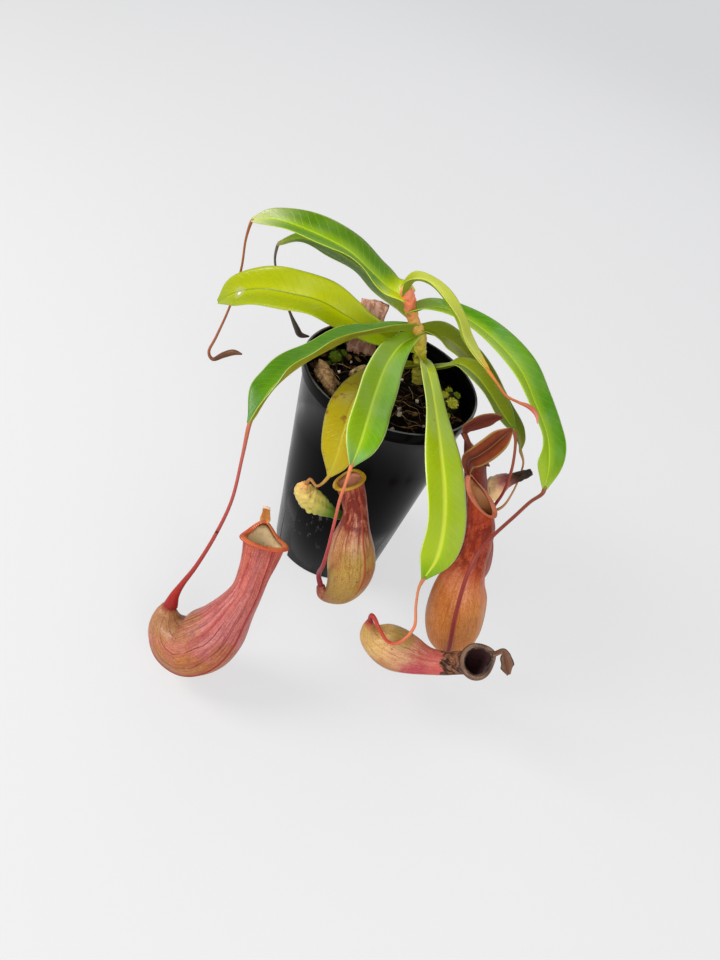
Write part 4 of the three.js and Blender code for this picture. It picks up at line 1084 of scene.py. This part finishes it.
def stem_skin():
    frames = Line(STEM_LINE).frames(STEM_ALONG, (0, 1, 0))
    joints = places(leaf["spine"][0] for leaf in LEAVES.values())

    def place(u, v):
        frame = frames[round(v * STEM_ALONG)]
        centre, radius = frame[:2]
        if v in (0, 1):
            return centre
        angle = u * 2 * math.pi
        swell = sum(math.exp(-(((centre - joint).length / JOINT_REACH) ** 2)) for joint in joints)
        uneven = rumple(on_ring(frame, angle, radius), 1.5, 0.6)
        return on_ring(frame, angle, radius + JOINT_RISE * min(swell, 1) + uneven)

    return wrapped_skin(STEM_AROUND, STEM_ALONG, place)


add_piece(stem_skin(), "stem_bark", [bar_finish("stem_skin", STEM_COLOURS, 0.38, "8A5A24", 0.7)], "stem")

# %% [markdown]
# ## The pot
# A nursery tube is moulded in glossy black plastic. Its outline is spun round the axis, with a band
# round the rim, a small foot, and notches where water leaves. Dust and scuffs sit low on one side.

# %% Pot
POT = dict(height=112, rim=42, base=29.5, wall=1.3, band=7, step=0.9, floor=1.6)
NOTCH = dict(count=4, width=9, height=5, depth=3.2)
SPIN_STEPS = 160
SCUFF = dict(at=(-14, -30, 36), reach=24, full=8)


def pot_outline():
    """Radius and height of the wall, from the middle of the base up, over the rim and down inside."""
    rim, top, wall, floor = (POT[key] for key in ("rim", "height", "wall", "floor"))
    band = top - POT["band"]

    def outer(z):
        return POT["base"] + (rim - POT["base"]) / top * z

    def body(z, inward=0.0):
        return outer(z) - POT["step"] - inward

    return [
        (0, 0.6), (20, 0.6), (22, 0), (body(0, 0.5), 0), (body(0), 0.5), (body(40), 40), (body(80), 80),
        (body(band - 0.4), band - 0.4), (outer(band), band + 0.5), (outer(band) + 0.05, band + 0.9),
        (rim - 0.05, top - 0.9), (rim - 0.1, top - 0.35), (rim - 0.45, top - 0.02),
        (rim - wall + 0.35, top - 0.02), (rim - wall, top - 0.4), (body(band, wall), band),
        (body(60, wall), 60), (body(floor, wall), floor), (0, floor),
    ]


def pot_shell():
    bm = bmesh.new()
    rows = [bm.verts.new((radius * MM, 0, z * MM)) for radius, z in pot_outline()]
    edges = [bm.edges.new(pair) for pair in zip(rows, rows[1:])]
    bmesh.ops.spin(bm, geom=rows + edges, axis=(0, 0, 1), cent=(0, 0, 0), angle=2 * math.pi,
                   steps=SPIN_STEPS, use_merge=True)
    bmesh.ops.remove_doubles(bm, verts=bm.verts, dist=WELD)
    bmesh.ops.recalc_face_normals(bm, faces=bm.faces)
    return smooth(bm)


def notch_boxes():
    bm = bmesh.new()
    place = Matrix.Translation(Vector((POT["base"] - POT["step"], 0, 0)) * MM)
    size = Vector((NOTCH["depth"] * 2, NOTCH["width"], NOTCH["height"] * 2)) * MM
    for i in range(NOTCH["count"]):
        turn = Matrix.Rotation((i + 0.5) / NOTCH["count"] * 2 * math.pi, 4, "Z")
        bmesh.ops.create_cube(bm, size=1, matrix=turn @ place @ Matrix.Diagonal((*size, 1)))
    return bm


def cut_by(piece, bm):
    """Cuts the bmesh's shape out of a piece with a Boolean, and applies it."""
    cutter = mesh_object(bm, "cutter")
    step = piece.modifiers.new("notches", "BOOLEAN")
    step.object = cutter
    step.solver = "EXACT"
    with bpy.context.temp_override(object=piece, active_object=piece):
        bpy.ops.object.modifier_apply(modifier=step.name)
    bpy.data.meshes.remove(cutter.data)


def pot_plastic():
    f = Finish("black_plastic", 0.16, 0.08, IOR=1.35)
    smear = f.noise(60, 5, 0.6, spot=f.stretched(1, 1, 0.35))
    f.colour = f.mix(f.step(smear, 0.5, 0.75, 0, 0.35), "030303", "0A090A")
    # Scuffs in a patch low on the front left, and thin dust on the rest.
    around_scuff = f.step(f.distance(*SCUFF["at"]), SCUFF["reach"] * MM, SCUFF["full"] * MM)
    scratched = f.step(f.noise(330, 5, 0.75, spot=f.stretched(1, 1, 0.5)), 0.57, 0.66)
    scuffs = f.times(around_scuff, scratched)
    f.coat(f.times(scuffs, 0.45), "6E6660")
    f.flecks("3A3836", 0.72, 0.8, 0.35, 1400, 3, 0.7)
    # A thin pale line painted along the rim's edge is a painted highlight.
    z = f.add("SeparateXYZ", {"Vector": f.spot}).outputs["Z"]
    rim_highlight_band = f.step(z, (POT["height"] - 0.4) * MM, (POT["height"] - 0.1) * MM)
    f.coat(f.times(rim_highlight_band, f.step(f.noise(60), 0.35, 0.6, 0.1, 0.5)), "8E8C8A")
    rough = f.plus(f.step(smear, 0.35, 0.7, 0.1, 0.24), f.times(scuffs, 0.35))
    lines = f.noise(900, 2, spot=f.stretched(1, 1, 0.02))
    return f.done(rough, f.relief(lines, 0.02, 0.25))


pot = add_piece(pot_shell(), "pot_tube", [pot_plastic()], "pot")
cut_by(pot, notch_boxes())

# %% [markdown]
# ## The potting mix
# The mix is dark bark and peat. A solid plug with an uneven top fills the pot. On it lie chips of
# bark, a few white grains of perlite, thin roots and fibres. They repeat by the hundred, so each has
# only a few faces, and a seeded draw places them.

# %% Plug of mix
SOIL_LEVEL, SOIL_EDGE, SOIL_RADIUS = 101, 99.5, 38.0
PLUG_LOW, PLUG_LOW_RADIUS = 7, 28.0
PLUG_AROUND, PLUG_RINGS = 90, 60


def soil_height(x, y):
    wave = 0.5 * math.sin(x * 0.31 + 1.3) * math.cos(y * 0.27) + 0.3 * math.sin(x * 0.53 - y * 0.61)
    return SOIL_LEVEL + 1.1 * (wave + 0.2 * math.cos(y * 0.9 + x * 0.2)) + rumple((x, y, 0), 4, 1.2)


def plug_point(u, v):
    """The plug's floor up to v of 0.1, its side up to 0.15, and then its uneven top."""
    radius, z = SOIL_RADIUS * (1 - (v - 0.15) / 0.85), None
    if v < 0.1:
        radius, z = PLUG_LOW_RADIUS * v / 0.1, PLUG_LOW
    elif v < 0.15:
        share = (v - 0.1) / 0.05
        radius = PLUG_LOW_RADIUS + (SOIL_RADIUS - PLUG_LOW_RADIUS) * share
        z = PLUG_LOW + (SOIL_EDGE - PLUG_LOW) * share
    x, y = radius * math.cos(u * 2 * math.pi), radius * math.sin(u * 2 * math.pi)
    return Vector((x, y, soil_height(x, y) if z is None else z))


def mix_finish(name, dark, brown, light):
    f = Finish(name, 0.9, 0.05)
    grain = f.noise(500, 5, 0.7)
    f.colour = f.mix(f.step(grain, 0.4, 0.65), dark, brown)
    f.flecks(light, 0.6, 0.75, 1, 1500)
    return f.done(None, f.relief(grain, 0.6, 1))


plug = wrapped_skin(PLUG_AROUND, PLUG_RINGS, plug_point)
add_piece(plug, "mix_plug", [mix_finish("peat", "040302", "0E0A06", "3A2A1A")], "potting_mix")

# %% Chips, perlite and fibres
CHIP_COUNT, PERLITE_COUNT, FIBRE_COUNT = 330, 16, 130
STEM_FOOT, STEM_CLEAR = STEM_LINE[1][:2], 4.5


def scattered(rng, from_edge):
    """A random place on the mix, clear of the stem and no nearer the plug's edge than that."""
    while True:
        radius = (SOIL_RADIUS - from_edge) * math.sqrt(rng.random())
        angle = rng.random() * 2 * math.pi
        x, y = radius * math.cos(angle), radius * math.sin(angle)
        if math.dist((x, y), STEM_FOOT) > STEM_CLEAR:
            return x, y


def put_lump(bm, rng, spot, size, turn, ragged):
    """One rough lump: a small icosphere, squashed, knocked about and turned."""
    new = bmesh.ops.create_icosphere(bm, subdivisions=2, radius=0.5)["verts"]
    seed = Vector([rng.random() * 50 for _ in range(3)])
    for corner in new:
        corner.co *= 1 + ragged * noise.noise(corner.co * 3 + seed)
        corner.co = corner.co.lerp(Vector([math.copysign(min(abs(c), 0.36), c) for c in corner.co]), 0.7)
    bmesh.ops.scale(bm, vec=Vector(size) * MM, verts=new)
    bmesh.ops.rotate(bm, verts=new, cent=(0, 0, 0), matrix=turn.to_matrix())
    bmesh.ops.translate(bm, verts=new, vec=Vector(spot) * MM)
    return new


def tone_faces(bm, corners, tone):
    """Gives every face of a lump one spot on the Skin map, so that the finish can tint it as one."""
    skin_map = bm.loops.layers.uv.verify()
    for face in {face for corner in corners for face in corner.link_faces}:
        for loop in face.loops:
            loop[skin_map].uv = tone


def bark_chips(rng):
    bm, _ = mapped_bmesh()
    for _ in range(CHIP_COUNT):
        x, y = scattered(rng, 1.5)
        size = (rng.uniform(2.5, 7.5), rng.uniform(1.6, 4), rng.uniform(0.8, 2))
        turn = Euler((rng.gauss(0, 0.35), rng.gauss(0, 0.35), rng.random() * math.pi))
        spot = (x, y, soil_height(x, y) + rng.uniform(-0.2, 0.9))
        tone_faces(bm, put_lump(bm, rng, spot, size, turn, 0.5), (rng.random(), rng.random()))
    return bm


def perlite(rng):
    bm, _ = mapped_bmesh()
    for _ in range(PERLITE_COUNT):
        x, y = scattered(rng, 4)
        size = [rng.uniform(1.2, 2.8)] * 3
        spot = (x, y, soil_height(x, y) + 1.2)
        put_lump(bm, rng, spot, size, Euler((rng.random() * 3, rng.random() * 3, 0)), 0.8)
    return bm


def fibre_line(rng):
    """Points of one fibre that wanders over the mix. It stops short of the plug's edge."""
    x, y = scattered(rng, 5)
    heading, stride = rng.random() * 2 * math.pi, rng.uniform(7, 22) / 4
    rows = []
    for i in range(5):
        if math.hypot(x, y) > SOIL_RADIUS - 1:
            break
        lift = 1.1 + rng.uniform(0, 1.6) * math.sin(math.pi * i / 4)
        rows.append((x, y, soil_height(x, y) + lift, rng.uniform(0.08, 0.2)))
        heading += rng.gauss(0, 0.28)
        x, y = x + stride * math.cos(heading), y + stride * math.sin(heading)
    return rows


def fibres(rng):
    bm, _ = mapped_bmesh()
    for _ in range(FIBRE_COUNT):
        rows = fibre_line(rng)
        if len(rows) < 3:
            continue
        strand, part = round_bar(rows, 5, 4), bpy.data.meshes.new("strand")
        strand.to_mesh(part)
        strand.free()
        seen = set(bm.verts)
        bm.from_mesh(part)
        bpy.data.meshes.remove(part)
        tone_faces(bm, [c for c in bm.verts if c not in seen], (rng.random(), rng.random()))
    return bm


def tone_finish(name, tones, rough, grain_colour, relief_mm=0.25):
    """A finish whose ground colour differs from lump to lump."""
    f = Finish(name, rough, 0.05)
    f.colour = f.ramp(f.skin()[0], tones)
    grain = f.noise(700, 4, 0.7)
    f.coat(f.step(grain, 0.45, 0.7, 0, 0.6), grain_colour)
    return f.done(None, f.relief(grain, relief_mm, 0.8))


rng = random.Random(7)
CHIP_TONES = {0: "060403", 0.45: "140E09", 0.7: "2A1C12", 0.88: "5A4028", 1: "86683E"}
PERLITE_TONES = {0: "C8BEAC", 1: "D8D0C2"}
FIBRE_TONES = {0: "2A1C12", 0.4: "4A3220", 0.75: "7E5C3C", 1: "B49468"}
LOOSE = {
    "mix_chips": (bark_chips, ("bark_chip", CHIP_TONES, 0.85, "140E0A")),
    "mix_perlite": (perlite, ("perlite", PERLITE_TONES, 0.8, "7A6A58")),
    "mix_fibres": (fibres, ("fibre", FIBRE_TONES, 0.8, "2A1C12", 0.05)),
}
for name, (scatter, look) in LOOSE.items():
    add_piece(scatter(rng), name, [tone_finish(*look)], slot="potting_mix")

# %% [markdown]
# ## Bark and moss
# Three larger pieces of bark stick out of the mix. Each starts as a cut-up block whose faces are
# knocked about by noise. Moss cushions are lumpy domes under hundreds of tiny pointed leaves.

# %% Bark
BARK = {
    "bark_back": dict(at=(-19.2, 25.9, 112), size=(15.5, 5, 35.5), round=0.2, turn=(-4, -2, 8),
                      colours=("D8AC94", "A87460", "EED4C0")),
    "bark_left": dict(at=(-27.5, -10, 103.8), size=(8.5, 19, 8.5), round=0.75, turn=(6, -8, 45),
                      colours=("9A7C54", "6A4E34", "B8A078")),
    "bark_middle": dict(at=(-14, 6, 103.5), size=(6, 11, 6), round=0.8, turn=(6, 10, -30),
                        colours=("A08A58", "5A4830", "BCA878")),
}


def bark_slab(bark):
    bm, _ = mapped_bmesh()
    bmesh.ops.create_cube(bm, size=1)
    bmesh.ops.subdivide_edges(bm, edges=bm.edges, cuts=17, use_grid_fill=True)
    width, depth, height = bark["size"]
    turn = Euler([math.radians(a) for a in bark["turn"]])
    for corner in bm.verts:
        block = corner.co * 2
        block *= 1 + (1 / block.length - 1) * bark["round"]
        taper = 1 - 0.14 * abs(block.z) - 0.07 * math.sin(8 * (block.z + block.x / 2))
        bow = 0.2 * math.sin(3 * block.x)
        place = Vector((block.x * taper * width, (block.y * taper + bow) * depth, block.z * height)) / 2
        grain = rumple((place.x, place.y * 3, place.z * 0.35), 1.1, 0.45) + rumple(place, 4, 0.7)
        place += place.normalized() * grain
        corner.co = (turn.to_matrix() @ place + Vector(bark["at"])) * MM
    return smooth(bm)


def bark_finish(name, ground, crack, light):
    f = Finish(name, 0.85, 0.1)
    grain = f.noise(420, 6, 0.7, 0.6, f.stretched(1, 1, 0.3))
    f.colour = f.mix(f.step(grain, 0.42, 0.6), crack, ground)
    f.flecks(light, 0.58, 0.72, 0.8, 350, 4)
    return f.done(None, f.relief(grain, 0.5, 1))


for name, bark in BARK.items():
    add_piece(bark_slab(bark), name + "_slab", [bark_finish(name + "_wood", *bark["colours"])], name)

# %% Moss
MOSS = {
    "moss_right": dict(
        at=(29.6, 9, 102.8), radii=(6.2, 9.5, 5.4),
        heads=[(31, 5, 3.3, 1), (26.5, 8.5, 2.5, 0.9), (26, 1.5, 2.6, 0.85), (30.5, -0.5, 2.2, 0.6),
               (32, 12, 2, 0.5), (28, 15, 1.7, 0.7), (24.5, 5, 1.6, 0.6)],
    ),
    "moss_left": dict(
        at=(-28, 11, 102.5), radii=(5, 6.5, 4.2),
        heads=[(-28, 8, 3.3, 0.26), (-25.5, 13, 2, 0.2), (-30, 4.5, 1.8, 0.2), (-30.5, 13.5, 1.6, 0.12)],
    ),
}
MOSS_LEAVES = 26  # on a head of 1 mm


def moss_cushion(moss, rng):
    """A dark lumpy dome with rounded heads on it, each bristling with tiny leaves."""
    bm, _ = mapped_bmesh()
    radii, centre = Vector(moss["radii"]), Vector(moss["at"])
    base = bmesh.ops.create_icosphere(bm, subdivisions=4, radius=1)["verts"]
    for corner in base:
        corner.co *= 0.84 + 0.1 * noise.noise(corner.co * 4)
        corner.co = (corner.co * radii + centre) * MM
    tone_faces(bm, base, (0, 0.1))
    for x, y, radius, tone in moss["heads"]:
        flat = Vector(((x - centre.x) / radii.x, (y - centre.y) / radii.y))
        rise = math.sqrt(max(0.0, 1 - flat.length_squared))
        spot = Vector((x, y, centre.z + radii.z * rise - 0.6 * radius))
        core = bmesh.ops.create_icosphere(bm, subdivisions=2, radius=0.8 * radius * MM,
                                          matrix=Matrix.Translation(spot * MM))["verts"]
        tone_faces(bm, core, (0.6 * tone, 0.5))
        for _ in range(round(MOSS_LEAVES * radius**1.5)):
            out = Vector((rng.gauss(0, 1), rng.gauss(0, 1), abs(rng.gauss(0.3, 1)))).normalized()
            turn = out.to_track_quat("Z", "Y").to_matrix().to_4x4()
            place = Matrix.Translation((spot + out * radius * 0.86) * MM) @ turn
            foot, point, length = 0.26 * MM, 0.04 * MM, rng.uniform(0.8, 1.3) * MM
            tip = bmesh.ops.create_cone(bm, cap_ends=True, segments=3, radius1=foot, radius2=point,
                                        depth=length, matrix=place)["verts"]
            tone_faces(bm, tip, (tone * rng.uniform(0.75, 1), 0.5))
    return bm


MOSS_TONES = {0: "15140A", 0.25: "5C7018", 0.6: "A8B030", 0.85: "DCD448", 1: "F0E470"}
for name, moss in MOSS.items():
    finish = tone_finish(name + "_green", MOSS_TONES, 0.75, "4A5618", 0.1)
    add_piece(moss_cushion(moss, rng), name + "_cushion", [finish], name)

# %% [markdown]
# ## The floor, and the end
# The floor is plain and isn't part of the plant.

# %% Floor
pale = Finish("pale_floor", 0.8, 0.1, Emission_Color=(0.95, 0.955, 0.97, 1), Emission_Strength=0.6)
pale.colour = "868584"
bm = bmesh.new()
bmesh.ops.create_grid(bm, x_segments=1, y_segments=1, size=6)
floor = mesh_object(bm, "floor", [pale.done()])
floor.location.z = -0.3 * MM
